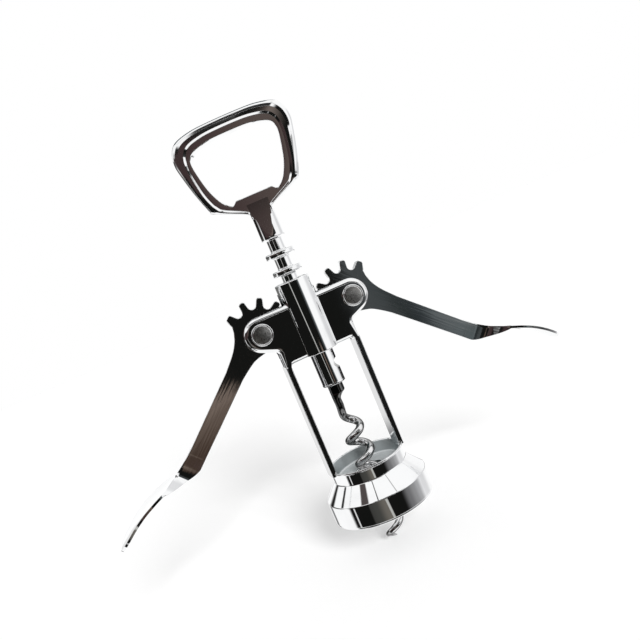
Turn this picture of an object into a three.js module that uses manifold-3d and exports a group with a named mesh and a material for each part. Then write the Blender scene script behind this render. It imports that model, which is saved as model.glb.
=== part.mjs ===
// Double-lever wine opener. Two toothed levers move a ringed rack up and down in a cast frame.
// The rack carries a rod with an opener head above and a worm below.
// Lengths are millimetres. The main axis is Z and the front is -Y.
// Every piece is drawn with the pivots at z = 0, and the finished group is then centred on its length.

import * as THREE from "three";
import { mergeVertices } from "three/addons/utils/BufferGeometryUtils.js";
import Module from "manifold-3d";

const wasm = await Module();
wasm.setup();

// Clearances and cuts
const runningGap = 0.08;
const seatGap = 0.3;
const rivetSeatGap = 0.1;
const leverSideGap = 0.3;
const ringBoreGap = 0.1;
const webTipGap = 0.9;
const overrun = 1;

// Gearing
const pivotReach = 19.5;
const pitchRadius = 13.5;
const teethPerTurn = 12;
const addendum = 0.9;
const toothHeight = 4;
const toothTipWidth = 1.4;
const toothShoulderWidth = 2.5;
const toothShoulderDrop = 0.35;
const toothRootWidth = 3.3;
const firstTooth = -2;
const lastTooth = 4;
const meshAngle = 5.8;
const meshSlack = 1.1;

// Levers
const leverThickness = 3;
const leverLean = 48.5;
const armRootWidth = 7.3;
const armEndWidth = 6.6;
const armRootStart = 18.5;
const armEnd = 55;
const armInnerOffset = 1.15;
const hubInnerRadius = 7.1;
const webLength = 19;
const paddleLength = 37.5;
const paddleRise = 7.3;
const paddleHalfWidth = 9.2;
const paddleThickness = 1.3;

// Frame casting
const barrelWall = 1.2;
const barrelRise = 14.8;
const barrelDrop = 15.3;
const slotRise = 11.5;
const slotDrop = 9.5;
const earThickness = 2.4;
const eyeRadius = 6.9;
const earUnderLean = 22;
const windowCorner = 1.8;
const legThickness = 2.1;
const footInset = 0.2;
const footDepth = 1.8;

// Rivets
const rivetRadius = 2.2;
const rivetHeadRadius = 4.3;
const rivetHeadHeight = 0.8;
const rivetChamfer = 0.4;

// Bell
const bellDrop = 61.1;
const bellRimRadius = 15.8;
const bellRimDepth = 1.5;
const bellRimChamfer = 0.25;
const cupMouthRadius = 14.9;
const cupWallRadius = 12;
const cupDepth = 3.3;
const floorFall = 1.7;
const wormHoleGap = 1.1;
const waistRadius = 12.95;
const waistStart = 2.7;
const waistEnd = 6.2;
const skirtRadius = 20.9;
const shoulderHeight = 5.6;
const skirtHeight = 9.1;
const bellWall = 1.6;
const bellLipChamfer = 0.5;

// Rack sleeve
const coreRadius = 3.15;
const ringTipWidth = 1.4;
const ringRootWidth = 2.5;
const lowestRing = -1;
const highestRing = 4;
const sleeveDrop = 13.2;

// Spindle and ferrule
const spindleRadius = 1.9;
const neckSocketDepth = 11.8;
const ferruleRadius = 4.65;
const ferruleLength = 15.8;
const ferruleChamfer = 0.4;
const ferruleTopSocket = 8.5;
const ferruleWormSocket = 5.6;
const crimpRadius = 1.9;
const crimpHeight = 5.8;
const crimpDepth = 1.4;

// Worm
const wormPlugRadius = 3;
const wormPlugShow = 4.4;
const wormPlugNose = 1.6;
const wireRadius = 1.2;
const coilRadius = 3.5;
const coilPitch = 10.3;
const coilStart = 10.6;
const coilTurns = 5.1;
const coilGrowth = 16;
const wormTipLength = 9;
const wormTipRadius = 0.12;
const tipReach = 1.2;
const leadOffset = 1;
const leadTwistShare = 0.1;
const leadTwistPower = 5;
const wormTurn = 203;
const stepsPerTurn = 20;
const wireSides = 8;

// Opener head
const headTurn = -18;
const neckStart = 32.2;
const neckLength = 11.3;
const neckRadius = 4.8;
const neckChamfer = 0.4;
const headHeight = 38.5;
const headHalfWidth = 24.2;
const headThickness = 6.6;
const headEdge = 2.4;
const openingHalfWidth = 17.6;
const openingHeight = 25;
const openingStart = 5.8;
const lipRise = 1.3;
const lipHalfWidth = 7.5;

// Roundness of the solids
const roundSides = 40;
const bellSides = 48;
const smallSides = 28;
const arcSteps = 7;

// Sizes that follow from the ones above
const degree = Math.PI / 180;
const ringRadius = pivotReach - pitchRadius;
const ringPitch = (2 * Math.PI * pitchRadius) / teethPerTurn;
const gearTipRadius = pitchRadius + addendum;
const gearRootRadius = gearTipRadius - toothHeight;
const boreRadius = ringRadius + ringBoreGap;
const barrelRadius = boreRadius + barrelWall;
const earInner = leverThickness / 2 + leverSideGap;
const earOuter = earInner + earThickness;
const legOuter = bellRimRadius - footInset;
const legInner = legOuter - legThickness;
const footEnd = -bellDrop - footDepth;
const wormHoleRadius = coilRadius + wireRadius + wormHoleGap;
const bellHeight = waistEnd + shoulderHeight + skirtHeight;
const sleeveTop = neckStart - seatGap;
const ferruleTop = -sleeveDrop - seatGap;
const ferruleBottom = ferruleTop - ferruleLength;
const spindleBottom = ferruleTop - ferruleTopSocket + seatGap;
const plugBottom = ferruleBottom - wormPlugShow;
const shoulderZ = neckStart + neckLength;
const headTop = shoulderZ + headHeight;
const wormLength = coilStart + coilPitch * coilTurns + tipReach;
const wormTip = plugBottom - wormLength;

// A closed mesh becomes a solid with merged corners and its faces pointing out.
function solidOf(geometry) {
  const bare = geometry.clone();
  bare.deleteAttribute("normal");
  bare.deleteAttribute("uv");
  const merged = mergeVertices(bare);
  const at = merged.attributes.position.array;
  const corners = merged.index.array;
  const kept = [];
  let volume = 0;
  for (let i = 0; i < corners.length; i += 3) {
    const [a, b, c] = [corners[i], corners[i + 1], corners[i + 2]];
    if (a === b || b === c || c === a) continue;
    kept.push(a, b, c);
    const p = new THREE.Vector3().fromArray(at, 3 * a);
    const q = new THREE.Vector3().fromArray(at, 3 * b);
    const r = new THREE.Vector3().fromArray(at, 3 * c);
    volume += p.dot(q.cross(r));
  }
  const order = volume < 0 ? kept.reverse() : kept;
  const mesh = new wasm.Mesh({ numProp: 3, vertProperties: at, triVerts: new Uint32Array(order) });
  return new wasm.Manifold(mesh);
}

function geometryOf(solid) {
  const mesh = solid.getMesh();
  const geometry = new THREE.BufferGeometry();
  geometry.setAttribute("position", new THREE.BufferAttribute(new Float32Array(mesh.vertProperties), 3));
  geometry.setIndex(new THREE.BufferAttribute(new Uint32Array(mesh.triVerts), 1));
  geometry.computeVertexNormals();
  return geometry;
}

function mirroredInX(solid) {
  return solidOf(geometryOf(solid).scale(-1, 1, 1));
}

// A closed outline of [radius, z] points, revolved about Z.
function revolved(outline, sides) {
  const points = [...outline, outline[0]].map(([r, z]) => new THREE.Vector2(r, z));
  return new THREE.LatheGeometry(points, sides).rotateX(Math.PI / 2);
}

function rod(radius, bottom, top, sides = smallSides) {
  return revolved([[0, bottom], [radius, bottom], [radius, top], [0, top]], sides);
}

// A rod along Y, centred on the plane y = 0, at a pivot.
function crossRod(radius, length, x) {
  return rod(radius, -length / 2, length / 2).rotateX(Math.PI / 2).translate(x, 0, 0);
}

// A shape drawn in X and Z, made thick along Y between two planes.
function plate(shape, yLow, yHigh) {
  const solid = new THREE.ExtrudeGeometry(shape, {
    depth: yHigh - yLow,
    bevelEnabled: false,
    curveSegments: arcSteps,
  });
  return solid.rotateX(Math.PI / 2).translate(0, yHigh, 0);
}

function shapeOf(points) {
  return new THREE.Shape(points.map(([x, z]) => new THREE.Vector2(x, z)));
}

function block(xLow, xHigh, yLow, yHigh, zLow, zHigh) {
  const box = new THREE.BoxGeometry(xHigh - xLow, yHigh - yLow, zHigh - zLow);
  return box.translate((xLow + xHigh) / 2, (yLow + yHigh) / 2, (zLow + zHigh) / 2);
}

// Rings of matching points joined into one closed skin, with a fan over each end ring.
function lofted(rings) {
  const count = rings[0].length;
  const position = [];
  const index = [];
  for (const ring of rings) for (const p of ring) position.push(p.x, p.y, p.z);
  for (let k = 0; k + 1 < rings.length; k++) {
    for (let i = 0; i < count; i++) {
      const a = k * count + i;
      const b = k * count + ((i + 1) % count);
      index.push(a, b, b + count, a, b + count, a + count);
    }
  }
  const ends = [[0, 1], [rings.length - 1, -1]];
  for (const [k, side] of ends) {
    const middle = new THREE.Vector3();
    for (const p of rings[k]) middle.addScaledVector(p, 1 / count);
    const centre = position.length / 3;
    position.push(middle.x, middle.y, middle.z);
    for (let i = 0; i < count; i++) {
      const a = k * count + i;
      const b = k * count + ((i + 1) % count);
      if (side > 0) index.push(centre, b, a);
      else index.push(centre, a, b);
    }
  }
  const geometry = new THREE.BufferGeometry();
  geometry.setAttribute("position", new THREE.BufferAttribute(new Float32Array(position), 3));
  geometry.setIndex(index);
  return geometry;
}

// One side of the frame: ear, leg and foot, with a rounded corner at the top of the window.
function frameSideShape() {
  const lean = earUnderLean * degree;
  const touchX = pivotReach + eyeRadius * Math.sin(lean);
  const touchZ = -eyeRadius * Math.cos(lean);
  const legStart = touchZ - (touchX - legOuter) * Math.tan(lean);
  const shape = new THREE.Shape();
  shape.moveTo(0, eyeRadius);
  shape.lineTo(pivotReach, eyeRadius);
  shape.absarc(pivotReach, 0, eyeRadius, Math.PI / 2, lean - Math.PI / 2, true);
  shape.lineTo(legOuter, legStart);
  shape.lineTo(legOuter, footEnd + seatGap);
  shape.lineTo(legInner, footEnd + seatGap);
  shape.lineTo(legInner, -barrelDrop - windowCorner);
  shape.absarc(legInner - windowCorner, -barrelDrop - windowCorner, windowCorner, 0, Math.PI / 2);
  shape.lineTo(0, -barrelDrop);
  return shape;
}

function frameSide() {
  const shape = frameSideShape();
  const webTop = -gearTipRadius - webTipGap;
  const web = block(legInner, legOuter, -earInner, earInner, footEnd + seatGap, webTop);
  return solidOf(plate(shape, -earOuter, -earInner))
    .add(solidOf(plate(shape, earInner, earOuter)))
    .add(solidOf(web));
}

function frameCasting() {
  const right = frameSide();
  const slotReach = barrelRadius + overrun;
  const slot = block(-slotReach, slotReach, -earInner, earInner, -slotDrop, slotRise);
  const bore = rod(boreRadius, -barrelDrop - overrun, barrelRise + overrun, roundSides);
  const pinHole = (x) => solidOf(crossRod(rivetRadius + runningGap, 2 * (earOuter + overrun), x));
  return solidOf(rod(barrelRadius, -barrelDrop, barrelRise, roundSides))
    .add(right)
    .add(mirroredInX(right))
    .subtract(solidOf(bore))
    .subtract(solidOf(slot))
    .subtract(pinHole(pivotReach))
    .subtract(pinHole(-pivotReach));
}

// Shares of the cup wall's flare and depth, from its foot up to its mouth.
const cupWallShares = [[0, 1], [0.2, 0.62], [0.5, 0.3]];
// Shares of the step in from the rim to the waist, and of its fall.
const underRimShares = [[0.25, 0.5], [0, 1]];

// The bell from its worm hole out: cup, rim, waist, rounded shoulder, skirt and the mouth inside.
function bellOutline() {
  const rimLow = bellRimRadius - 2 * bellRimChamfer;
  const waistZ = -waistEnd;
  const skirtZ = waistZ - shoulderHeight;
  const lipZ = -bellHeight;
  const outline = [
    [wormHoleRadius, -cupDepth - floorFall],
    ...cupWallShares.map(([r, z]) => [cupWallRadius + (cupMouthRadius - cupWallRadius) * r, -cupDepth * z]),
    [cupMouthRadius, -bellRimChamfer / 2],
    [cupMouthRadius + bellRimChamfer, 0],
    [bellRimRadius - bellRimChamfer, 0],
    [bellRimRadius, -bellRimChamfer],
    [bellRimRadius, -bellRimDepth + 2 * bellRimChamfer],
    [rimLow, -bellRimDepth],
    ...underRimShares.map(([r, z]) => [
      waistRadius + (bellRimRadius - waistRadius) * r,
      -bellRimDepth - (waistStart - bellRimDepth) * z,
    ]),
    [waistRadius, waistZ],
  ];
  const shoulderRun = skirtRadius - waistRadius;
  for (let i = 1; i <= arcSteps; i++) {
    const turn = (i / arcSteps) * (Math.PI / 2);
    const r = waistRadius + shoulderRun * Math.sin(turn);
    outline.push([r, skirtZ + shoulderHeight * Math.cos(turn)]);
  }
  outline.push([skirtRadius, lipZ + bellLipChamfer]);
  outline.push([skirtRadius - bellLipChamfer, lipZ]);
  outline.push([skirtRadius - bellWall + bellLipChamfer / 2, lipZ]);
  outline.push([skirtRadius - bellWall, lipZ + bellLipChamfer]);
  for (let i = arcSteps; i >= 0; i--) {
    const turn = (i / arcSteps) * (Math.PI / 2);
    const r = waistRadius + (shoulderRun - bellWall) * Math.sin(turn);
    outline.push([r, skirtZ + (shoulderHeight - bellWall) * Math.cos(turn)]);
  }
  outline.push([wormHoleRadius, skirtZ + shoulderHeight - bellWall]);
  return outline.reverse();
}

function bell() {
  const notchHalf = earOuter + runningGap;
  const notchInner = legInner - runningGap;
  const notch = block(notchInner, bellRimRadius + overrun, -notchHalf, notchHalf, -footDepth, overrun);
  return solidOf(revolved(bellOutline(), bellSides))
    .subtract(solidOf(notch))
    .subtract(mirroredInX(solidOf(notch)))
    .translate([0, 0, -bellDrop]);
}

// A lever's gear, drawn about the right pivot. Angles turn up from the direction of the main axis.
function gearPoints() {
  const points = [];
  const place = (radius, angle) => [-radius * Math.cos(angle), radius * Math.sin(angle)];
  const toothTurn = (2 * Math.PI) / teethPerTurn;
  const shoulderRadius = gearTipRadius - toothShoulderDrop;
  const tipHalf = toothTipWidth / 2 / gearTipRadius;
  const shoulderHalf = toothShoulderWidth / 2 / shoulderRadius;
  const rootHalf = toothRootWidth / 2 / gearRootRadius;
  for (let k = lastTooth; k >= firstTooth; k--) {
    const middle = toothTurn / 2 - meshAngle * degree + k * toothTurn;
    points.push(place(gearRootRadius, middle + rootHalf));
    points.push(place(shoulderRadius, middle + shoulderHalf));
    points.push(place(gearTipRadius, middle + tipHalf));
    points.push(place(gearTipRadius, middle - tipHalf));
    points.push(place(shoulderRadius, middle - shoulderHalf));
    points.push(place(gearRootRadius, middle - rootHalf));
  }
  return points;
}

// Shares of the paddle's length and rise, from the elbow to the tip, with its width's share.
const paddleShares = [
  [-0.1, -0.05, 0.14], [0.03, 0.03, 0.2], [0.17, 0.16, 0.42], [0.3, 0.31, 0.72], [0.44, 0.5, 0.93],
  [0.58, 0.69, 1], [0.72, 0.83, 1], [0.86, 0.93, 0.93], [0.95, 0.98, 0.72], [1, 1, 0.38],
];
// Shares of the run from the hub to the straight arm, along it and off its edge.
const hubOuterShares = [[0.19, 0.87], [0.36, 0.5], [0.6, 0.18], [1, 0]];
const hubInnerShares = [[0.26, 0.98], [0.4, 0.61], [0.55, 0.3], [0.76, 0.12], [1, 0]];
// Shares of the web's run and height, from the elbow to where it meets the paddle.
const webShares = [[0, 0], [0.1, 0.06], [0.24, 0.16], [0.55, 0.6], [1, 1]];

const outerEdgeV = armRootWidth - armInnerOffset;

// Turns a place along and across the arm into the lever's X and Z.
function alongArm(u, v) {
  const lean = leverLean * degree;
  return [u * Math.sin(lean) + v * Math.cos(lean), -u * Math.cos(lean) + v * Math.sin(lean)];
}

function paddlePlace(lengthShare, riseShare) {
  return [armEnd + paddleLength * lengthShare, outerEdgeV - paddleThickness / 2 + paddleRise * riseShare];
}

function leverShape() {
  const points = gearPoints();
  const inner = -armInnerOffset;
  const innerEnd = outerEdgeV - armEndWidth;
  const hubStart = hubInnerRadius * Math.sin(leverLean * degree);
  for (const [u, v] of hubInnerShares) {
    points.push(alongArm(armRootStart * u, inner - (hubStart - armInnerOffset) * v));
  }
  const [webEndU, webEndV] = paddlePlace(webLength / paddleLength, webLength / paddleLength);
  for (const [u, v] of webShares) {
    points.push(alongArm(armEnd + (webEndU - armEnd) * u, innerEnd + (webEndV - innerEnd) * v));
  }
  for (const [u, v] of paddleShares.slice(0, 4).reverse()) points.push(alongArm(...paddlePlace(u, v)));
  const outerStart = gearRootRadius - outerEdgeV;
  for (const [u, v] of hubOuterShares.slice().reverse()) {
    points.push(alongArm(armRootStart * u, outerEdgeV + outerStart * v));
  }
  return shapeOf(points);
}

// The thumb paddle, a thin curved blade across the end of the arm.
function paddle() {
  const half = paddleThickness / 2;
  const rings = paddleShares.map(([u, v, width], i) => {
    const before = paddleShares[Math.max(i - 1, 0)];
    const after = paddleShares[Math.min(i + 1, paddleShares.length - 1)];
    const [bu, bv] = paddlePlace(before[0], before[1]);
    const [au, av] = paddlePlace(after[0], after[1]);
    const run = Math.hypot(au - bu, av - bv);
    const normal = [-(av - bv) / run, (au - bu) / run];
    const [pu, pv] = paddlePlace(u, v);
    const side = Math.max(paddleHalfWidth * width, leverThickness / 2 - leverSideGap);
    const corners = [[half, -side], [half, side], [-half, side], [-half, -side]];
    return corners.map(([off, y]) => {
      const [x, z] = alongArm(pu + normal[0] * off, pv + normal[1] * off);
      return new THREE.Vector3(x, y, z);
    });
  });
  return lofted(rings);
}

function rightLever() {
  const hole = crossRod(rivetRadius + runningGap, leverThickness + 2 * overrun, 0);
  return solidOf(plate(leverShape(), -leverThickness / 2, leverThickness / 2))
    .add(solidOf(paddle()))
    .subtract(solidOf(hole))
    .translate([pivotReach, 0, 0]);
}

function rivet(x) {
  const shank = crossRod(rivetRadius, 2 * (earOuter + rivetSeatGap), 0);
  const seat = earOuter + rivetSeatGap;
  const face = seat + rivetHeadHeight;
  const head = revolved(
    [
      [0, seat],
      [rivetHeadRadius, seat],
      [rivetHeadRadius, face - rivetChamfer],
      [rivetHeadRadius - rivetChamfer, face],
      [0, face],
    ],
    smallSides,
  );
  const front = head.clone().rotateX(Math.PI / 2);
  const back = head.clone().rotateX(-Math.PI / 2);
  return solidOf(shank).add(solidOf(front)).add(solidOf(back)).translate([x, 0, 0]);
}

// The sleeve's rings mesh with both gears. The ring nearest the pivots sits in a gap between teeth.
function rackSleeve() {
  const nearRing = -pitchRadius * meshAngle * degree - meshSlack;
  const outline = [[coreRadius, -sleeveDrop]];
  for (let k = lowestRing; k <= highestRing; k++) {
    const middle = nearRing + k * ringPitch;
    outline.push([coreRadius, middle - ringRootWidth / 2]);
    outline.push([ringRadius, middle - ringTipWidth / 2]);
    outline.push([ringRadius, middle + ringTipWidth / 2]);
    outline.push([coreRadius, middle + ringRootWidth / 2]);
  }
  outline.push([coreRadius, sleeveTop]);
  outline.push([spindleRadius + runningGap, sleeveTop]);
  outline.push([spindleRadius + runningGap, -sleeveDrop]);
  return solidOf(revolved(outline, smallSides));
}

function spindle() {
  return solidOf(rod(spindleRadius, spindleBottom, neckStart + neckSocketDepth - seatGap));
}

function ferrule() {
  const body = revolved(
    [
      [0, ferruleBottom],
      [ferruleRadius - ferruleChamfer, ferruleBottom],
      [ferruleRadius, ferruleBottom + ferruleChamfer],
      [ferruleRadius, ferruleTop - ferruleChamfer],
      [ferruleRadius - ferruleChamfer, ferruleTop],
      [0, ferruleTop],
    ],
    smallSides,
  );
  const topBore = rod(spindleRadius + runningGap, ferruleTop - ferruleTopSocket, ferruleTop + overrun);
  const wormBore = rod(
    wormPlugRadius + runningGap,
    ferruleBottom - overrun,
    ferruleBottom + ferruleWormSocket,
  );
  const dent = crossRod(crimpRadius, 2 * ferruleRadius, ferruleRadius + crimpRadius - crimpDepth);
  dent.translate(0, 0, ferruleBottom + crimpHeight + crimpRadius);
  return solidOf(body).subtract(solidOf(topBore)).subtract(solidOf(wormBore)).subtract(solidOf(dent));
}

// The worm's centre line: out of the plug on one side, then a right-handed helix that steepens to the point.
function wormCentre(drop) {
  const leadShare = Math.min(drop / coilStart, 1);
  const grown = Math.min(drop / coilGrowth, 1);
  const tipShare = Math.max(drop - wormLength + wormTipLength, 0) / wormTipLength;
  const radius = leadOffset + (coilRadius - leadOffset) * grown ** 2;
  const twistedLead = coilStart * leadTwistShare * leadShare ** leadTwistPower;
  const coiled = Math.max(drop - coilStart, 0) + twistedLead - tipReach * tipShare ** 2;
  const angle = (wormTurn - headTurn) * degree - (2 * Math.PI * coiled) / coilPitch;
  return new THREE.Vector3(radius * Math.cos(angle), radius * Math.sin(angle), plugBottom - drop);
}

function wormWire() {
  const start = -wormPlugNose;
  const steps = Math.round(((wormLength - start) / coilPitch) * stepsPerTurn);
  const rings = [];
  for (let i = 0; i <= steps; i++) {
    const drop = start + ((wormLength - start) * i) / steps;
    const centre = wormCentre(Math.max(drop, 0));
    centre.z = plugBottom - drop;
    const ahead = wormCentre(Math.max(drop, 0) + wireRadius / stepsPerTurn);
    const behind = wormCentre(Math.max(drop, 0));
    const along = ahead.sub(behind).normalize();
    const out = new THREE.Vector3(centre.x, centre.y, 0).normalize();
    const across = new THREE.Vector3().crossVectors(along, out).normalize();
    const outward = new THREE.Vector3().crossVectors(across, along);
    const left = Math.min((wormLength - drop) / wormTipLength, 1);
    const radius = wormTipRadius + (wireRadius - wormTipRadius) * Math.sqrt(left);
    const ring = [];
    for (let s = 0; s < wireSides; s++) {
      const turn = (2 * Math.PI * s) / wireSides;
      ring.push(
        centre
          .clone()
          .addScaledVector(outward, radius * Math.cos(turn))
          .addScaledVector(across, radius * Math.sin(turn)),
      );
    }
    rings.push(ring);
  }
  return lofted(rings);
}

function worm() {
  const plugTop = ferruleBottom + ferruleWormSocket - seatGap;
  const plug = revolved(
    [
      [0, plugBottom - wormPlugNose / 2],
      [wormPlugRadius - wormPlugNose, plugBottom - wormPlugNose / 2],
      [wormPlugRadius, plugBottom + wormPlugNose],
      [wormPlugRadius, plugTop],
      [0, plugTop],
    ],
    smallSides,
  );
  return solidOf(plug).add(solidOf(wormWire()));
}

// Shares of the head's half width and height: its outline at mid thickness and round its flat face.
const headShares = [
  [0.18, -0.05, 0.16, -0.05],
  [0.19, 0, 0.19, 0.012],
  [0.72, 0.15, 0.56, 0.132],
  [0.765, 0.177, 0.645, 0.185],
  [0.8, 0.231, 0.7, 0.247],
  [0.884, 0.392, 0.765, 0.37],
  [0.979, 0.642, 0.818, 0.572],
  [1, 0.745, 0.826, 0.69],
  [0.965, 0.85, 0.79, 0.79],
  [0.85, 0.94, 0.68, 0.862],
  [0.58, 0.987, 0.46, 0.9],
  [0.25, 1, 0.2, 0.915],
];
// Shares of the opening's half width and height, from beside the lip up to the top.
const openingShares = [
  [0.47, -0.035], [0.545, -0.05], [0.715, 0.06], [0.86, 0.27], [0.94, 0.48], [1, 0.73],
  [0.965, 0.85], [0.86, 0.915], [0.62, 0.965], [0.34, 0.99],
];

function bothSides(points) {
  return [...points, ...points.slice().reverse().map(([x, z]) => [-x, z])];
}

function headBody() {
  const half = headThickness / 2;
  const edge = headEdge / 2;
  const outer = bothSides(headShares.map(([x, z]) => [x * headHalfWidth, shoulderZ + z * headHeight]));
  const face = bothSides(headShares.map((s) => [s[2] * headHalfWidth, shoulderZ + s[3] * headHeight]));
  const layers = [[-half, face], [-edge, outer], [edge, outer], [half, face]];
  return lofted(layers.map(([y, points]) => points.map(([x, z]) => new THREE.Vector3(x, y, z))));
}

function headOpening() {
  const base = shoulderZ + openingStart + lipRise;
  const lip = [[lipHalfWidth, base]];
  const rest = openingShares.map(([x, z]) => [x * openingHalfWidth, base + z * openingHeight]);
  return plate(shapeOf(bothSides([...lip, ...rest])), -headThickness, headThickness);
}

// The wedge cut from the front of the neck, which leaves a flat tongue down to its end.
function neckWedge() {
  const half = headThickness / 2;
  const far = neckRadius + overrun;
  const top = shoulderZ + neckRadius;
  const points = [[half, top], [far, top], [far, neckStart], [neckRadius, neckStart]];
  const shape = new THREE.Shape(points.map(([y, z]) => new THREE.Vector2(y, z)));
  const wedge = new THREE.ExtrudeGeometry(shape, { depth: 2 * far, bevelEnabled: false });
  const turn = new THREE.Matrix4().makeBasis(
    new THREE.Vector3(0, 1, 0),
    new THREE.Vector3(0, 0, 1),
    new THREE.Vector3(1, 0, 0),
  );
  return wedge.applyMatrix4(turn).translate(-far, 0, 0);
}

function openerHead() {
  const neck = revolved(
    [
      [0, neckStart],
      [neckRadius - neckChamfer, neckStart],
      [neckRadius, neckStart + neckChamfer],
      [neckRadius, shoulderZ],
      [0, shoulderZ + neckRadius],
    ],
    smallSides,
  );
  const wedge = neckWedge();
  const backWedge = wedge.clone().rotateZ(Math.PI);
  const socket = rod(spindleRadius + runningGap, neckStart - overrun, neckStart + neckSocketDepth);
  return solidOf(neck)
    .subtract(solidOf(wedge))
    .subtract(solidOf(backWedge))
    .add(solidOf(headBody()))
    .subtract(solidOf(headOpening()))
    .subtract(solidOf(socket));
}

const chrome = { color: 0xd9dadb, roughness: 0.08, metalness: 1 };
const steel = { color: 0xbfc0c2, roughness: 0.22, metalness: 1 };
const brushed = { color: 0xa9a6a3, roughness: 0.38, metalness: 1 };

function piece(name, solid, finish) {
  const mesh = new THREE.Mesh(geometryOf(solid), new THREE.MeshStandardMaterial(finish));
  mesh.name = name;
  return mesh;
}

const lever = rightLever();
const frame = new THREE.Group();
frame.add(piece("frame_casting", frameCasting(), chrome));
frame.add(piece("bell", bell(), chrome));
frame.add(piece("right_lever", lever, chrome));
frame.add(piece("left_lever", mirroredInX(lever), chrome));
frame.add(piece("right_pivot_rivet", rivet(pivotReach), brushed));
frame.add(piece("left_pivot_rivet", rivet(-pivotReach), brushed));
frame.add(piece("rack_sleeve", rackSleeve(), chrome));

const handle = new THREE.Group();
handle.add(piece("spindle", spindle(), steel));
handle.add(piece("opener_head", openerHead(), chrome));
handle.add(piece("ferrule", ferrule(), chrome));
handle.add(piece("worm", worm(), steel));
handle.rotation.z = headTurn * degree;

const opener = new THREE.Group();
opener.add(frame, handle);
opener.position.z = -(headTop + wormTip) / 2;

export default opener;
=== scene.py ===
import math

import bpy
from mathutils import Matrix, Vector


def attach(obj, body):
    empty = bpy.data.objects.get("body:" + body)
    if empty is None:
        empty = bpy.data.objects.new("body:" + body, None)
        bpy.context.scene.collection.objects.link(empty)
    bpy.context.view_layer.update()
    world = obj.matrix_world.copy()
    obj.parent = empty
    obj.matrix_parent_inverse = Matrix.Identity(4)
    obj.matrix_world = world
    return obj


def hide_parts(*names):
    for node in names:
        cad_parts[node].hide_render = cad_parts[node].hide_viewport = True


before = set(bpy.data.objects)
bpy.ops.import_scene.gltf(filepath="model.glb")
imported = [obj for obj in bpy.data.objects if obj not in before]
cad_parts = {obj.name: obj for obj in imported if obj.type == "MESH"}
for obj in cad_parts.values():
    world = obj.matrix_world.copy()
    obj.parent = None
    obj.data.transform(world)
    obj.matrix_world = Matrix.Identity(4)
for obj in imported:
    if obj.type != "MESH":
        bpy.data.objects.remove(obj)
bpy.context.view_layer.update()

# Every length below is in millimetres, with the lever pivots at z = 0.
# The opener's main axis is Z and its front is -Y.
MM = 0.001
PIVOT_RISE = 8.015

# Places and sizes shared by several pieces
PIVOT_REACH = 19.5
PITCH_RADIUS = 13.5
TEETH_ROUND = 12
# How far the photographed levers are turned from where a gap between two teeth faces the axis, in degrees
REST_TURN = 5.8
LEVER_LEAN = math.radians(48.5)
SPINDLE_BORE = 1.98
BELL_TOP = -61.1
FERRULE_TOP = -13.5
FERRULE_BOTTOM = -29.3
NECK_BOTTOM = 32.2
HEAD_SHOULDER = 43.5
HEAD_TURN = math.radians(-18)


# Shaping tools

LIFT = Vector((0, 0, PIVOT_RISE * MM))
# A corner whose half angle is above this is nearly straight and is drawn as a short bend
NEARLY_STRAIGHT = math.radians(88)
TINY = 1e-6
NO_FAR_SIDE = 1e9
# The most that a plate's edge may move inwards, as a share of the plate's width there
INSET_SHARE = 0.15


def ordered(points):
    """The same outline, turned so that it runs anticlockwise."""
    area = sum(a[0] * b[1] - b[0] * a[1] for a, b in zip(points, points[1:] + points[:1]))
    return points if area > 0 else points[::-1]


def rounded_outline(corners, steps=5):
    """A closed outline of (x, z, radius) corners, each corner rounded to its radius."""
    outline = []
    count = len(corners)
    for i, (x, z, radius) in enumerate(corners):
        here = Vector((x, z))
        if radius <= 0:
            outline.append((x, z))
            continue
        before = Vector(corners[i - 1][:2]) - here
        after = Vector(corners[(i + 1) % count][:2]) - here
        reach = min(before.length, after.length)
        before.normalize()
        after.normalize()
        half = before.angle(after, math.pi) / 2
        if half > NEARLY_STRAIGHT:
            near = reach * 0.05
            for k in range(steps + 1):
                outline.append(tuple(here + before * near * (1 - k / steps) + after * near * k / steps))
            continue
        cut = min(radius / math.tan(half), reach * 0.49)
        fit = cut * math.tan(half)
        centre = here + (before + after).normalized() * (fit / math.sin(half))
        start = here + before * cut - centre
        end = here + after * cut - centre
        turn = start.angle_signed(end)
        for k in range(steps + 1):
            spoke = start.copy()
            spoke.rotate(Matrix.Rotation(-turn * k / steps, 2))
            outline.append(tuple(centre + spoke))
    return outline


def smooth_run(points, steps=6):
    """An open run of points, drawn as a smooth curve through each of them."""
    knots = [Vector(p) for p in points]
    knots = [2 * knots[0] - knots[1]] + knots + [2 * knots[-1] - knots[-2]]
    run = []
    for a, b, c, d in zip(knots, knots[1:], knots[2:], knots[3:]):
        bend = 2 * a - 5 * b + 4 * c - d
        twist = 3 * b - a - 3 * c + d
        for k in range(steps):
            t = k / steps
            run.append(tuple(0.5 * (2 * b + (c - a) * t + bend * t**2 + twist * t**3)))
    return run + [tuple(points[-1])]


def arc(centre, radius, start, end, steps):
    """Points round a circle from one angle to another."""
    turns = [start + (end - start) * k / steps for k in range(steps + 1)]
    return [(centre[0] + radius * math.cos(turn), centre[1] + radius * math.sin(turn)) for turn in turns]


def both_sides(points):
    """An outline's right half, and its mirror back to the start."""
    return points + [(-x, z) for x, z in points[::-1]]


def placed(name, data):
    """A new object in the scene."""
    made = bpy.data.objects.new(name, data)
    bpy.context.scene.collection.objects.link(made)
    return made


def piece_from(name, points, faces, flat_ends=0):
    """A new mesh object from points in millimetres. Its last faces are flat ends, the others are smooth."""
    mesh = bpy.data.meshes.new(name)
    mesh.from_pydata([Vector(p) * MM + LIFT for p in points], [], faces)
    for i, face in enumerate(mesh.polygons):
        face.use_smooth = i < len(faces) - flat_ends
    mesh.update()
    return placed(name, mesh)


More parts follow.
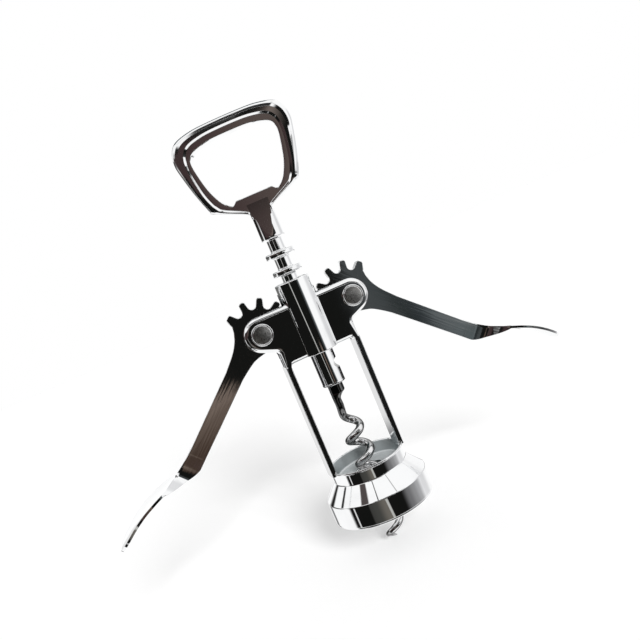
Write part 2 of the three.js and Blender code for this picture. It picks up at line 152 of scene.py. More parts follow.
def turned_piece(name, outline, sides=128, centre=(0, 0, 0), axis="Z"):
    """A closed outline of (radius, height) points turned about Z, or about Y with heights to the front."""
    rings, points = [], []
    for radius, height in outline:
        if radius < TINY:
            rings.append([len(points)] * sides)
            points.append((0, 0, height))
            continue
        rings.append(list(range(len(points), len(points) + sides)))
        for k in range(sides):
            turn = 2 * math.pi * k / sides
            points.append((radius * math.cos(turn), radius * math.sin(turn), height))
    faces = []
    for a, b in zip(rings, rings[1:] + rings[:1]):
        for k in range(sides):
            n = (k + 1) % sides
            corners = list(dict.fromkeys((a[k], a[n], b[n], b[k])))
            if len(corners) > 2:
                faces.append(corners)
    if axis == "Y":
        points = [(x, -z, y) for x, y, z in points]
    points = [tuple(Vector(p) + Vector(centre)) for p in points]
    return outward(piece_from(name, points, faces))


def outward(piece):
    """Turns a closed piece's faces to point outwards."""
    bpy.context.view_layer.update()
    mesh = piece.data
    volume = 0.0
    for face in mesh.polygons:
        first, *others = (mesh.vertices[i].co for i in face.vertices)
        for second, third in zip(others, others[1:]):
            volume += first.dot(second.cross(third))
    if volume < 0:
        mesh.flip_normals()
    return piece


def crossings(places, start, direction):
    """The sides of a closed outline that a line crosses, and how far along the line."""
    for k, place in enumerate(places):
        a, b = place - start, places[(k + 1) % len(places)] - start
        side_a = direction.x * a.y - direction.y * a.x
        side_b = direction.x * b.y - direction.y * b.x
        if (side_a > 0) != (side_b > 0):
            yield k, a.lerp(b, side_a / (side_a - side_b)).dot(direction)


def inward_room(outline):
    """For each point of an anticlockwise outline: the way inwards, and how far it may move that way."""
    room = []
    count = len(outline)
    places = [Vector(p) for p in outline]
    for i, here in enumerate(places):
        before = (here - places[i - 1]).normalized()
        after = (places[(i + 1) % count] - here).normalized()
        normal = Vector((-before.y - after.y, before.x + after.x))
        if normal.length < TINY:
            normal = Vector((-before.y, before.x))
        normal.normalize()
        stretch = max(normal.dot(Vector((-before.y, before.x))), 0.5)
        own_sides = (i, (i - 1) % count)
        far = [reach for k, reach in crossings(places, here, normal) if k not in own_sides]
        nearest = min((reach for reach in far if reach > TINY), default=NO_FAR_SIDE)
        room.append((normal / stretch, INSET_SHARE * nearest * stretch))
    return room


def inset(outline, room, amount):
    """An outline moved inwards by a small amount, less where it is thin."""
    return [tuple(Vector(p) + inward * min(amount, most)) for p, (inward, most) in zip(outline, room)]


def plate_piece(name, outline, front, back, edge=0.4, steps=4, round_back=True):
    """A plate drawn in X and Z between two Y planes, with rounded edges."""
    outline = ordered([tuple(p) for p in outline])
    turns = [math.pi / 2 * k / steps for k in range(steps + 1)]
    rounding = [(edge * (1 - math.sin(turn)), edge * (1 - math.cos(turn))) for turn in turns]
    layers = [(amount, front + depth) for amount, depth in rounding]
    layers += [(amount, back - depth) for amount, depth in rounding[::-1]] if round_back else [(0, back)]
    room = inward_room(outline)
    rings = [[(x, y, z) for x, z in inset(outline, room, amount)] for amount, y in layers]
    return skinned_piece(name, rings)


def skinned_piece(name, rings, flat=False):
    """Matching rings of points joined into one closed skin, with flat ends or flat all over."""
    count = len(rings[0])
    points = [p for ring in rings for p in ring]
    faces = []
    for layer in range(len(rings) - 1):
        for i in range(count):
            n = (i + 1) % count
            a, b = layer * count, (layer + 1) * count
            faces.append((a + i, a + n, b + n, b + i))
    faces.append(list(range(count))[::-1])
    faces.append([(len(rings) - 1) * count + i for i in range(count)])
    return outward(piece_from(name, points, faces, len(faces) if flat else 2))


def drill(radius, low, high, sides, centre=(0, 0, 0), axis="Z"):
    """A round cutting tool."""
    return turned_piece("drill", [(0, low), (radius, low), (radius, high), (0, high)], sides, centre, axis)


def block_piece(name, low, high):
    """A plain cutting block between two corners."""
    (x0, y0, z0), (x1, y1, z1) = low, high
    corners = [(x, y, z) for x in (x0, x1) for y in (y0, y1) for z in (z0, z1)]
    faces = [(0, 1, 3, 2), (4, 6, 7, 5), (0, 4, 5, 1), (2, 3, 7, 6), (0, 2, 6, 4), (1, 5, 7, 3)]
    return outward(piece_from(name, corners, faces, len(faces)))


def worked(piece, tool, operation):
    """Joins a tool to a piece, or cuts it from it, and removes the tool."""
    change = piece.modifiers.new("work", "BOOLEAN")
    change.operation = operation
    change.solver = "EXACT"
    change.object = tool
    bpy.context.view_layer.update()
    result = bpy.data.meshes.new_from_object(piece.evaluated_get(bpy.context.evaluated_depsgraph_get()))
    piece.modifiers.clear()
    old = piece.data
    piece.data = result
    result.name = piece.name
    bpy.data.meshes.remove(old)
    bpy.data.objects.remove(tool)
    return piece


def joined(piece, tool):
    return worked(piece, tool, "UNION")


def cut(piece, tool):
    return worked(piece, tool, "DIFFERENCE")


def mirrored_in_y(piece):
    """The piece moved to the other side of the plane y = 0."""
    piece.data.transform(Matrix.Scale(-1, 4, (0, 1, 0)))
    piece.data.flip_normals()
    return piece


def turned_about_axis(piece, angle):
    """Turns a piece about the main axis."""
    piece.data.transform(Matrix.Rotation(angle, 4, "Z"))
    return piece


def mirrored(piece, name):
    """A copy of a piece on the other side of the main axis."""
    mesh = piece.data.copy()
    mesh.transform(Matrix.Scale(-1, 4, (1, 0, 0)))
    mesh.flip_normals()
    return placed(name, mesh)


def dressed(piece, material, body, node_name, sharp=32):
    """Gives a finished piece its smooth shading, material and body, and hides the node it replaces."""
    mesh = piece.data
    mesh.set_sharp_from_angle(angle=math.radians(sharp))
    mesh.materials.clear()
    mesh.materials.append(material)
    even = piece.modifiers.new("even shading", "WEIGHTED_NORMAL")
    even.keep_sharp = True
    even.weight = 60
    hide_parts(node_name)
    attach(piece, body)


# Camera at the photograph's place

CAMERA_PLACE = (-57.70, -262.54, 22.24)
CAMERA_YAW = math.radians(13.34)
CAMERA_PITCH = math.radians(5.58)
CAMERA_ROLL = math.radians(22.75)
CAMERA_LENS = 38.79


def make_camera():
    turns = ((-CAMERA_ROLL, "Y"), (CAMERA_PITCH, "X"), (CAMERA_YAW, "Z"))
    roll, pitch, yaw = (Matrix.Rotation(angle, 3, axis) for angle, axis in turns)
    right, ahead, up = roll @ pitch @ yaw
    lens = bpy.data.cameras.new("camera")
    lens.sensor_fit = "AUTO"
    lens.sensor_width = 36
    lens.lens = CAMERA_LENS
    lens.clip_start = 0.01
    lens.clip_end = 20
    camera = placed("camera", lens)
    facing = Matrix((right, up, -ahead)).transposed().to_4x4()
    camera.matrix_world = Matrix.Translation(Vector(CAMERA_PLACE) * MM + LIFT) @ facing
    bpy.context.scene.camera = camera


make_camera()


# Finishes


def material_tree(name):
    """A new material, its node tree and its metal shader."""
    material = bpy.data.materials.new(name)
    material.use_nodes = True
    tree = material.node_tree
    metal = tree.nodes["Principled BSDF"]
    metal.inputs["Metallic"].default_value = 1.0
    return material, tree, metal


def effect_group(name, inputs, outputs):
    """A new shader node group with named number inputs and outputs."""
    group = bpy.data.node_groups.new(name, "ShaderNodeTree")
    for label, value in inputs.items():
        socket = group.interface.new_socket(label, in_out="INPUT", socket_type="NodeSocketFloat")
        socket.default_value = value
    for label in outputs:
        group.interface.new_socket(label, in_out="OUTPUT", socket_type="NodeSocketFloat")
    return group, group.nodes.new("NodeGroupInput"), group.nodes.new("NodeGroupOutput")


def is_socket(value):
    return isinstance(value, bpy.types.NodeSocket)


def node(tree, kind, inputs=None, **settings):
    """A node with its settings and with values or links on its inputs."""
    made = tree.nodes.new(kind)
    for key, value in settings.items():
        setattr(made, key, value)
    for key, value in (inputs or {}).items():
        if is_socket(value):
            tree.links.new(value, made.inputs[key])
        else:
            made.inputs[key].default_value = value
    return made


def math_of(tree, operation, *values):
    return node(tree, "ShaderNodeMath", dict(enumerate(values)), operation=operation).outputs[0]


def object_place(tree):
    return node(tree, "ShaderNodeTexCoord").outputs["Object"]


def parts_of(tree, vector):
    """The X, Y and Z of a vector."""
    return list(node(tree, "ShaderNodeSeparateXYZ", {0: vector}).outputs)


def noise(tree, place, scale, detail, roughness, distortion=0.0):
    inputs = {"Vector": place, "Scale": scale, "Detail": detail, "Roughness": roughness}
    inputs["Distortion"] = distortion
    return node(tree, "ShaderNodeTexNoise", inputs).outputs["Fac"]


def smooth_step(tree, value, start, end):
    """0 below start, 1 above end, smooth between."""
    inputs = {"Value": value, "From Min": start, "From Max": end}
    return node(tree, "ShaderNodeMapRange", inputs, interpolation_type="SMOOTHSTEP").outputs["Result"]


def remapped(tree, value, old, new=(0.0, 1.0)):
    """A value moved evenly from an old span to a new one and held at its ends."""
    inputs = {"Value": value, "From Min": old[0], "From Max": old[1], "To Min": new[0], "To Max": new[1]}
    return node(tree, "ShaderNodeMapRange", inputs).outputs["Result"]


def mixed(tree, share, first, second):
    """A mix of two colours, each a socket or its red, green and blue."""
    first, second = (colour if is_socket(colour) else (*colour, 1) for colour in (first, second))
    return node(tree, "ShaderNodeMix", {0: share, 6: first, 7: second}, data_type="RGBA").outputs[2]


def bumped(tree, height, distance, under=None):
    """A normal tilted by a height whose depth is in millimetres, on top of another bump."""
    bump = node(tree, "ShaderNodeBump", {"Height": height, "Strength": 1.0, "Distance": distance * MM})
    if under:
        tree.links.new(under, bump.inputs["Normal"])
    return bump.outputs["Normal"]


def feed_of(socket):
    """What feeds a shader's input so far."""
    return socket.links[0].from_socket


def handling_marks_group():
    """Soft smears from handling: a mask, and a very shallow unevenness of the plated face."""
    group, inside, outside = effect_group(
        "handling_marks",
        {"Smear Scale": 60.0, "Least Roughness": 0.05, "Most Roughness": 0.12, "Wave Scale": 90.0},
        ["Roughness", "Waves", "Mask"],
    )
    place = object_place(group)
    smear = noise(group, place, inside.outputs["Smear Scale"], 5.0, 0.62, 0.6)
    mask = smooth_step(group, smear, 0.42, 0.72)
    spread = math_of(group, "SUBTRACT", inside.outputs["Most Roughness"], inside.outputs["Least Roughness"])
    rough = math_of(group, "MULTIPLY_ADD", mask, spread, inside.outputs["Least Roughness"])
    group.links.new(rough, outside.inputs["Roughness"])
    group.links.new(noise(group, place, inside.outputs["Wave Scale"], 1.0, 0.4), outside.inputs["Waves"])
    group.links.new(mask, outside.inputs["Mask"])
    return group


def fine_scratches_group():
    """Fine hairline scratches in two directions."""
    group, inside, outside = effect_group(
        "fine_scratches", {"Length": 40.0, "Fineness": 3000.0, "Turn": 0.4}, ["Scratches"]
    )
    place = object_place(group)
    fineness, length = inside.outputs["Fineness"], inside.outputs["Length"]
    stretch = node(group, "ShaderNodeCombineXYZ", {"X": fineness, "Y": fineness, "Z": length}).outputs[0]
    lines = []
    for side in (1.0, -1.0):
        angle = math_of(group, "MULTIPLY", inside.outputs["Turn"], side)
        turned = node(
            group, "ShaderNodeVectorRotate",
            {"Vector": place, "Axis": (0.0, 1.0, 0.0), "Angle": angle},
            rotation_type="AXIS_ANGLE",
        ).outputs[0]
        scaled = node(group, "ShaderNodeVectorMath", {0: turned, 1: stretch}, operation="MULTIPLY")
        lines.append(noise(group, scaled.outputs["Vector"], 1.0, 2.0, 0.5))
    group.links.new(math_of(group, "ADD", *lines), outside.inputs["Scratches"])
    return group


def rolled_streaks_group():
    """Streaks along both arms, from the rolling of the sheet they are stamped from."""
    group, inside, outside = effect_group("rolled_streaks", {"Along": 60.0, "Across": 900.0}, ["Streaks"])
    x, y, z = parts_of(group, object_place(group))
    out = math_of(group, "ABSOLUTE", x)
    sine, cosine = math.sin(LEVER_LEAN), math.cos(LEVER_LEAN)
    along = math_of(group, "MULTIPLY_ADD", out, sine, math_of(group, "MULTIPLY", z, -cosine))
    across = math_of(group, "MULTIPLY_ADD", out, cosine, math_of(group, "MULTIPLY", z, sine))
    stretched_along = math_of(group, "MULTIPLY", along, inside.outputs["Along"])
    stretched_across = math_of(group, "MULTIPLY", across, inside.outputs["Across"])
    spot = node(group, "ShaderNodeCombineXYZ", {"X": stretched_along, "Y": stretched_across, "Z": y})
    group.links.new(noise(group, spot.outputs["Vector"], 1.0, 3.0, 0.55), outside.inputs["Streaks"])
    return group


ROLLED_STREAKS = rolled_streaks_group()
HANDLING_MARKS = handling_marks_group()
FINE_SCRATCHES = fine_scratches_group()
SMEAR_DULLING = 0.93


def plated_metal(name, colour, smear, roughness, wave, scratch, turn=0.4, streak=0):
    """Plated metal with smears, waves, hairline scratches and, where it is rolled, streaks.

    Smear is a scale, roughness the least and the most, and wave a scale and a depth.
    The depths of waves, scratches and streaks are in millimetres.
    """
    material, tree, metal = material_tree(name)
    least, most = roughness
    marks = node(
        tree, "ShaderNodeGroup",
        {"Smear Scale": smear, "Least Roughness": least, "Most Roughness": most, "Wave Scale": wave[0]},
        node_tree=HANDLING_MARKS,
    ).outputs
    lines = node(tree, "ShaderNodeGroup", {"Turn": turn}, node_tree=FINE_SCRATCHES)
    tint = mixed(tree, marks["Mask"], colour, tuple(SMEAR_DULLING * c for c in colour))
    tree.links.new(tint, metal.inputs["Base Color"])
    tree.links.new(marks["Roughness"], metal.inputs["Roughness"])
    normal = bumped(tree, marks["Waves"], wave[1])
    normal = bumped(tree, lines.outputs["Scratches"], scratch, normal)
    if streak:
        rolled = node(tree, "ShaderNodeGroup", node_tree=ROLLED_STREAKS)
        normal = bumped(tree, rolled.outputs["Streaks"], streak, normal)
    tree.links.new(normal, metal.inputs["Normal"])
    return material


CHROME = (0.90, 0.905, 0.91)
STEEL = (0.8, 0.8, 0.805)
# Painted dark reflection, laid on the worm and the ferrule where they turn away from view and on the worm's
# start beside the plug
PAINTED_DARK = (0.05, 0.05, 0.05)
# Heights between which the worm's painted dark reflection fades in upwards, and how dark it is beside the
# plug
PAINTED_DARK_SPAN = (-47, -41)
PAINTED_DARK_SHARE = 0.85
# Where a surface's turn away from view starts its painted dark edge, and where that edge is darkest
WIRE_EDGE = (0.16, 0.6)
FERRULE_EDGE = (0.38, 0.5)

casting_chrome = plated_metal("chrome_on_casting", CHROME, 55, (0.03, 0.08), (70, 0.004), 0.0001)
bell_chrome = plated_metal("chrome_on_bell", CHROME, 45, (0.025, 0.07), (170, 0.012), 0.0001)
lever_chrome = plated_metal("chrome_on_levers", CHROME, 40, (0.04, 0.08), (110, 0.01), 0.0002, 0.85, 0.012)
head_chrome = plated_metal("chrome_on_head", CHROME, 50, (0.05, 0.12), (80, 0.005), 0.0002)
rack_chrome = plated_metal("chrome_on_rack", CHROME, 90, (0.04, 0.1), (150, 0.003), 0.0002)
ferrule_chrome = plated_metal("chrome_on_ferrule", CHROME, 55, (0.03, 0.08), (70, 0.004), 0.0001)
worm_steel = plated_metal("plated_worm_wire", STEEL, 120, (0.03, 0.08), (200, 0.004), 0.0004)


def edge_mask(tree, start, end):
    """One where a surface turns away from view, zero where it faces the view."""
    facing = node(tree, "ShaderNodeLayerWeight", {"Blend": 0.5}).outputs["Facing"]
    return smooth_step(tree, facing, start, end)


def painted_dark_wire_mask(tree):
    """Where the wire is painted dark: one at its edges, and nearly one on its start beside the plug."""
    height = parts_of(tree, object_place(tree))[2]
    span = [(PIVOT_RISE + z) * MM for z in PAINTED_DARK_SPAN]
    painted_start = remapped(tree, height, span, (0.0, PAINTED_DARK_SHARE))
    return math_of(tree, "MAXIMUM", edge_mask(tree, *WIRE_EDGE), painted_start)


def darkened(material, mask):
    """Makes a metal nearly black where the mask is one, as a painted dark reflection."""
    tree = material.node_tree
    colour = tree.nodes["Principled BSDF"].inputs["Base Color"]
    tree.links.new(mixed(tree, mask, feed_of(colour), PAINTED_DARK), colour)


# Painted dark reflections along the worm's edges and its start by the plug, and along the ferrule's edges
darkened(worm_steel, painted_dark_wire_mask(worm_steel.node_tree))
darkened(ferrule_chrome, edge_mask(ferrule_chrome.node_tree, *FERRULE_EDGE))

RIVET_DARK = (0.36, 0.355, 0.345)
RIVET_LIGHT = (0.62, 0.615, 0.6)
RIVET_RIM_ROUGHNESS = 0.07


def rivet_metal():
    """Brushed, spotted steel on the rivet's flat face and bright plating on its rings."""
    material, tree, metal = material_tree("brushed_rivet")
    place = object_place(tree)
    grain = noise(tree, place, 1400.0, 6.0, 0.7)
    spots = remapped(tree, noise(tree, place, 260.0, 4.0, 0.6), (0.35, 0.7))
    normal = node(tree, "ShaderNodeNewGeometry").outputs["True Normal"]
    flat = remapped(tree, math_of(tree, "ABSOLUTE", parts_of(tree, normal)[1]), (0.985, 0.998))
    colour = mixed(tree, flat, CHROME, mixed(tree, spots, RIVET_DARK, RIVET_LIGHT))
    brushed = remapped(tree, grain, (0.3, 0.7), (0.22, 0.4))
    more = math_of(tree, "SUBTRACT", brushed, RIVET_RIM_ROUGHNESS)
    rough = math_of(tree, "MULTIPLY_ADD", flat, more, RIVET_RIM_ROUGHNESS)
    tree.links.new(colour, metal.inputs["Base Color"])
    tree.links.new(rough, metal.inputs["Roughness"])
    tree.links.new(bumped(tree, grain, 0.02), metal.inputs["Normal"])
    return material


rivet_steel = rivet_metal()


# Frame casting: barrel, ears and legs

BARREL_RADIUS = 7.3
BARREL_BORE = 6.1
BARREL_TOP = 14.8
BARREL_BOTTOM = -15.3
EAR_FRONT = 4.2
EAR_BACK = 1.8
EYE_RADIUS = 6.9
EAR_EDGE = 1.9
EAR_LEAN = math.radians(22)
WEB_RADIUS = 1.8
# The hollow corner where an ear's underside runs into its leg, out from the leg and up from their meeting
LEG_BLEND = [(0.9, 0.36), (0.25, -0.1), (0, -0.9)]
LEG_EDGE = 0.5
LEG_OUTER = 16.0
LEG_INNER = 13.8
FOOT_END = -62.6
FILLET_RADIUS = 0.9
FILLET_DEPTH = 0.6
SLOT_REACH = 9
SLOT_BOTTOM = -9.5
SLOT_TOP = 11.5
# A small overlap, so that joined pieces share no face
LAP = 0.01


def ear_outline():
    """Both ears, from the middle out to the rivet's eye, down to the start of the leg and back."""
    touch_x = PIVOT_REACH + EYE_RADIUS * math.sin(EAR_LEAN)
    touch_z = -EYE_RADIUS * math.cos(EAR_LEAN)
    leg_top = touch_z - (touch_x - LEG_OUTER) * math.tan(EAR_LEAN)
    web_end = BARREL_BOTTOM - 2 * WEB_RADIUS
    right = arc((PIVOT_REACH, 0), EYE_RADIUS, math.pi / 2, EAR_LEAN - math.pi / 2, 32)
    right += [(LEG_OUTER + x, leg_top + z) for x, z in LEG_BLEND]
    right += [(LEG_OUTER, web_end), (LEG_INNER, web_end)]
    right += arc((LEG_INNER - WEB_RADIUS, BARREL_BOTTOM - WEB_RADIUS), WEB_RADIUS, 0, math.pi / 2, 8)
    return both_sides(right)


def junction_fillet(side, face):
    """The small hollow fillet where the barrel runs into an ear."""
    centre_y = EAR_FRONT + FILLET_RADIUS
    centre_x = math.sqrt((BARREL_RADIUS + FILLET_RADIUS) ** 2 - centre_y**2)
    start = math.atan2(-centre_y, -centre_x)
    points = arc((centre_x, centre_y), FILLET_RADIUS, start, -math.pi / 2, 8)
    points += [(centre_x, EAR_FRONT - FILLET_DEPTH), (BARREL_RADIUS - 2.2, EAR_FRONT - FILLET_DEPTH)]
    heights = (BARREL_BOTTOM + 0.5, EYE_RADIUS - EAR_EDGE - 0.05)
    return skinned_piece("fillet", [[(side * x, face * y, z) for x, y in points] for z in heights])


def leg(side):
    """A leg: a flat bar with narrow edges, from inside the ear down to the bell."""
    near, far = side * (LEG_INNER - LAP), side * (LEG_OUTER + LAP)
    outline = [(near, BARREL_BOTTOM), (far, BARREL_BOTTOM), (far, FOOT_END), (near, FOOT_END)]
    return plate_piece("leg", outline, 2 * LAP - EAR_FRONT, EAR_FRONT - 2 * LAP, edge=LEG_EDGE)


def ear_plate():
    """The front pair of ears, flat on the side where the lever turns."""
    return plate_piece("ears", ear_outline(), -EAR_FRONT, -EAR_BACK, edge=EAR_EDGE, steps=9, round_back=False)


def frame_casting():
    barrel = [
        (BARREL_BORE, BARREL_BOTTOM, 0.25),
        (BARREL_RADIUS, BARREL_BOTTOM, 0.4),
        (BARREL_RADIUS, BARREL_TOP, 0.55),
        (BARREL_BORE, BARREL_TOP, 0.35),
    ]
    casting = turned_piece("frame_casting_body", rounded_outline(barrel, 4), 160)
    plates = joined(ear_plate(), mirrored_in_y(ear_plate()))
    plates = cut(plates, drill(BARREL_BORE, BARREL_BOTTOM - 1, BARREL_TOP + 1, 160))
    casting = joined(casting, plates)
    for side in (-1, 1):
        casting = joined(casting, leg(side))
        for face in (-1, 1):
            casting = joined(casting, junction_fillet(side, face))
    slot = block_piece("slot", (-SLOT_REACH, -EAR_BACK, SLOT_BOTTOM), (SLOT_REACH, EAR_BACK, SLOT_TOP))
    return cut(casting, slot)


dressed(frame_casting(), casting_chrome, "frame", "frame_casting")


# Bell

WORM_HOLE = 5.8
SKIRT_RADIUS = 20.9
SKIRT_BOTTOM = -20.9
SKIRT_WALL = 1.6
SKIRT_STEP = 0.12
INNER_TOP_RADIUS = 12.95
INNER_EDGE = -11.8
INNER_RISE = 4.0
INNER_STEPS = 24
BELL_PROFILE = [
    # radius, height below the bell's top, corner radius
    (WORM_HOLE, -4.9, 0.3),
    (13.3, -4.9, 1.0),
    (14.8, -0.4, 0.4),
    (15.1, 0.0, 0.2),
    (15.6, 0.0, 0.25),
    (15.75, -0.55, 0.25),
    (15.3, -0.85, 0.25),
    (15.3, -5.2, 0.8),
    (SKIRT_RADIUS, -11.6, 0.8),
    (SKIRT_RADIUS, -13.4, 0),
]
CUP_RADIUS = 14.95
CUP_DEPTH = 5.3
# The cup's wall colour is painted shade, darker than its floor
CUP_WALL_SHADE = (0.3, 0.345, 0.355)
CUP_FLOOR_COLOUR = (0.62, 0.64, 0.645)
CUP_ROUGHNESS = 0.32
CUP_FLOOR_MATT = 0.55


def bell():
    """The bell's wall in one turned profile: cup, waist, shoulder, skirt, lip and the hollow inside."""
    edge = BELL_TOP + INNER_EDGE
    low = BELL_TOP + SKIRT_BOTTOM
    closing_corner = (WORM_HOLE, -13.4, 0)
    profile = [(r, BELL_TOP + z) for r, z in rounded_outline(BELL_PROFILE + [closing_corner], 8)[:-1]]
    lip = [
        (SKIRT_RADIUS, edge - 1.6, 0),
        (SKIRT_RADIUS, low + 0.95, 0.15),
        (SKIRT_RADIUS - SKIRT_STEP, low + 0.85, 0.15),
        (SKIRT_RADIUS - SKIRT_STEP, low, 0.45),
        (SKIRT_RADIUS - SKIRT_WALL, low, 0.35),
        (SKIRT_RADIUS - SKIRT_WALL, edge, 0),
    ]
    profile += rounded_outline(lip)[1:]
    inner_reach = SKIRT_RADIUS - SKIRT_WALL - INNER_TOP_RADIUS
    for k in range(INNER_STEPS - 1, -1, -1):
        turn = math.pi / 2 * k / INNER_STEPS
        profile.append((INNER_TOP_RADIUS + inner_reach * math.sin(turn), edge + INNER_RISE * math.cos(turn)))
    profile += [(WORM_HOLE + 0.3, edge + INNER_RISE), (WORM_HOLE, edge + INNER_RISE + 0.3)]
    return turned_piece("bell_body", profile, 192)


def satin_and_shade_in_cup(material):
    """Duller, greyer plating inside the bell's cup, with painted shade that makes its wall darker than its
    floor.
    """
    tree = material.node_tree
    metal = tree.nodes["Principled BSDF"].inputs
    x, y, z = parts_of(tree, object_place(tree))
    squares = math_of(tree, "ADD", math_of(tree, "MULTIPLY", x, x), math_of(tree, "MULTIPLY", y, y))
    within = math_of(tree, "LESS_THAN", math_of(tree, "SQRT", squares), CUP_RADIUS * MM)
    above = math_of(tree, "GREATER_THAN", z, (BELL_TOP - CUP_DEPTH + PIVOT_RISE) * MM)
    mask = math_of(tree, "MULTIPLY", within, above)
    upright = parts_of(tree, node(tree, "ShaderNodeNewGeometry").outputs["True Normal"])[2]
    painted_shades = mixed(tree, upright, CUP_WALL_SHADE, CUP_FLOOR_COLOUR)
    colour = mixed(tree, mask, feed_of(metal["Base Color"]), painted_shades)
    rough = math_of(tree, "MULTIPLY_ADD", mask, CUP_ROUGHNESS, feed_of(metal["Roughness"]))
    matt = math_of(tree, "MULTIPLY", math_of(tree, "MULTIPLY", mask, upright), CUP_FLOOR_MATT)
    tree.links.new(colour, metal["Base Color"])
    tree.links.new(rough, metal["Roughness"])
    tree.links.new(math_of(tree, "SUBTRACT", 1.0, matt), metal["Metallic"])


# Satin plating in the cup, with painted shade darkening its wall
satin_and_shade_in_cup(bell_chrome)
dressed(bell(), bell_chrome, "frame", "bell", sharp=40)


# Rivets

RIVET_FACE = 5.1
RIVET_SEAT = 4.2
RIVET_SHANK = 2.2
# The rivet's face in rings from its middle: radius, and depth below the flat face
RIVET_RINGS = [
    (0, 0), (3.4, 0), (3.55, 0.04), (3.66, 0.16), (3.78, 0.16),
    (3.88, 0.05), (4.02, 0.02), (4.16, 0.09), (4.26, 0.22), (4.3, 0.4),
]


def rivet(name, side):
    """A rivet right through the ears: brushed flat faces, sloping rings and bright edges."""
    profile = [(r, RIVET_FACE - depth) for r, depth in RIVET_RINGS]
    profile += [(RIVET_RINGS[-1][0], RIVET_SEAT), (RIVET_SHANK, RIVET_SEAT)]
    profile += [(r, -h) for r, h in profile[::-1]]
    return turned_piece(name, profile, 96, (side * PIVOT_REACH, 0, 0), "Y")


for side, name in ((1, "right_pivot_rivet"), (-1, "left_pivot_rivet")):
    dressed(rivet(name + "_body", side), rivet_steel, "frame", name, sharp=40)


# Rack sleeve

RACK_BOTTOM = -13.2
RACK_TOP = 31.9
CORE_RADIUS = 3.15
RING_RADIUS = 6.0
RING_ROOT_HALF = 1.35
RING_TIP_HALF = 1.0
RING_PITCH = 2 * math.pi * PITCH_RADIUS / TEETH_ROUND
# How far a ring lies below the middle of its gap between two teeth
RING_DROP = 1.1
NEAR_RING = -PITCH_RADIUS * math.radians(REST_TURN) - RING_DROP
RINGS_BELOW = 1
RINGS_ABOVE = 4


def rack_sleeve():
    """A tube with the rings that both gears mesh with."""
    corners = [(SPINDLE_BORE, RACK_BOTTOM, 0.1), (CORE_RADIUS, RACK_BOTTOM, 0.3)]
    for k in range(-RINGS_BELOW, RINGS_ABOVE + 1):
        middle = NEAR_RING + k * RING_PITCH
        corners += [
            (CORE_RADIUS, middle - RING_ROOT_HALF, 0.45),
            (RING_RADIUS, middle - RING_TIP_HALF, 0.6),
            (RING_RADIUS, middle + RING_TIP_HALF, 0.6),
            (CORE_RADIUS, middle + RING_ROOT_HALF, 0.45),
        ]
    corners += [(CORE_RADIUS, RACK_TOP, 0.3), (SPINDLE_BORE, RACK_TOP, 0.1)]
    return turned_piece("rack_sleeve_body", rounded_outline(corners), 96)


dressed(rack_sleeve(), rack_chrome, "rack", "rack_sleeve", sharp=50)


# Ferrule with its crimp

FERRULE_RADIUS = 4.65
FERRULE_RIM = FERRULE_RADIUS + 0.1
PLUG_SOCKET = 3.08
PLUG_SOCKET_DEPTH = 5.6
DENT_RADIUS = 2.1
DENT_REACH = FERRULE_RADIUS + 0.5
DENT_RISE = 7.7
DENT_HALF_WIDTH = 5.5


def ferrule():
    """The tube that holds the worm, with a dent across its side."""
    wall = [
        (SPINDLE_BORE, FERRULE_TOP, 0.1),
        (FERRULE_RADIUS, FERRULE_TOP, 0.5),
        (FERRULE_RADIUS, FERRULE_BOTTOM + 0.9, 0.1),
        (FERRULE_RIM, FERRULE_BOTTOM + 0.7, 0.1),
        (FERRULE_RIM, FERRULE_BOTTOM, 0.35),
        (PLUG_SOCKET, FERRULE_BOTTOM, 0.2),
        (PLUG_SOCKET, FERRULE_BOTTOM + PLUG_SOCKET_DEPTH, 0),
        (SPINDLE_BORE, FERRULE_BOTTOM + PLUG_SOCKET_DEPTH + 0.2, 0),
    ]
    wide = DENT_HALF_WIDTH
    punch = [(0, -wide, 0), (DENT_RADIUS, -wide, 0.8), (DENT_RADIUS, wide, 0.8), (0, wide, 0)]
    body = turned_piece("ferrule_body", rounded_outline(wall), 128)
    place = (DENT_REACH, 0, FERRULE_BOTTOM + DENT_RISE)
    body = cut(body, turned_piece("punch", rounded_outline(punch, 4), 64, place, "Y"))
    return turned_about_axis(body, HEAD_TURN)


dressed(ferrule(), ferrule_chrome, "handle", "ferrule", sharp=40)


# Worm

PLUG_BOTTOM = -33.7
PLUG_RADIUS = 2.8
PLUG_SQUARENESS = 4.5
PLUG_TURN = math.radians(-28)
WIRE_RADIUS = 1.62
COIL_RADIUS = 3.5
COIL_PITCH = 10.3
# Drops below the plug: where the wire starts to turn, over how long it gathers its full turn,
# over how long the coil grows to its full radius, and where the wire ends
COIL_START = 3.2
COIL_RAMP = 10
COIL_GROWTH = 16
WORM_LENGTH = 64.33
LEAD_OFFSET = 1.0
LEAD_START_OFFSET = 0.85
LEAD_START_LENGTH = 9
WORM_TURN = math.radians(203)
TIP_LENGTH = 9
TIP_REACH = 1.2
TIP_RADIUS = 0.1
NOSE_RISE = 0.7
NOSE_DROP = 2.6
NOSE_CURVE = 2.6
NOSE_STEPS = 12
WIRE_STEPS = 420
WIRE_SIDES = 28


def worm_centre(drop):
    """The wire's centre line at a drop below the plug."""
    begun = max(drop - COIL_START, 0)
    grown = min(drop / COIL_GROWTH, 1)
    start = 1 - min(drop / LEAD_START_LENGTH, 1)
    tip = max(drop - WORM_LENGTH + TIP_LENGTH, 0) / TIP_LENGTH
    radius = LEAD_OFFSET + (COIL_RADIUS - LEAD_OFFSET) * grown**2
    radius += LEAD_START_OFFSET * start**2 * (3 - 2 * start)
    coiled = begun**2 / (2 * COIL_RAMP) if begun < COIL_RAMP else begun - COIL_RAMP / 2
    coiled -= TIP_REACH * tip**2
    angle = WORM_TURN - 2 * math.pi * coiled / COIL_PITCH
    return Vector((radius * math.cos(angle), radius * math.sin(angle), PLUG_BOTTOM - drop))


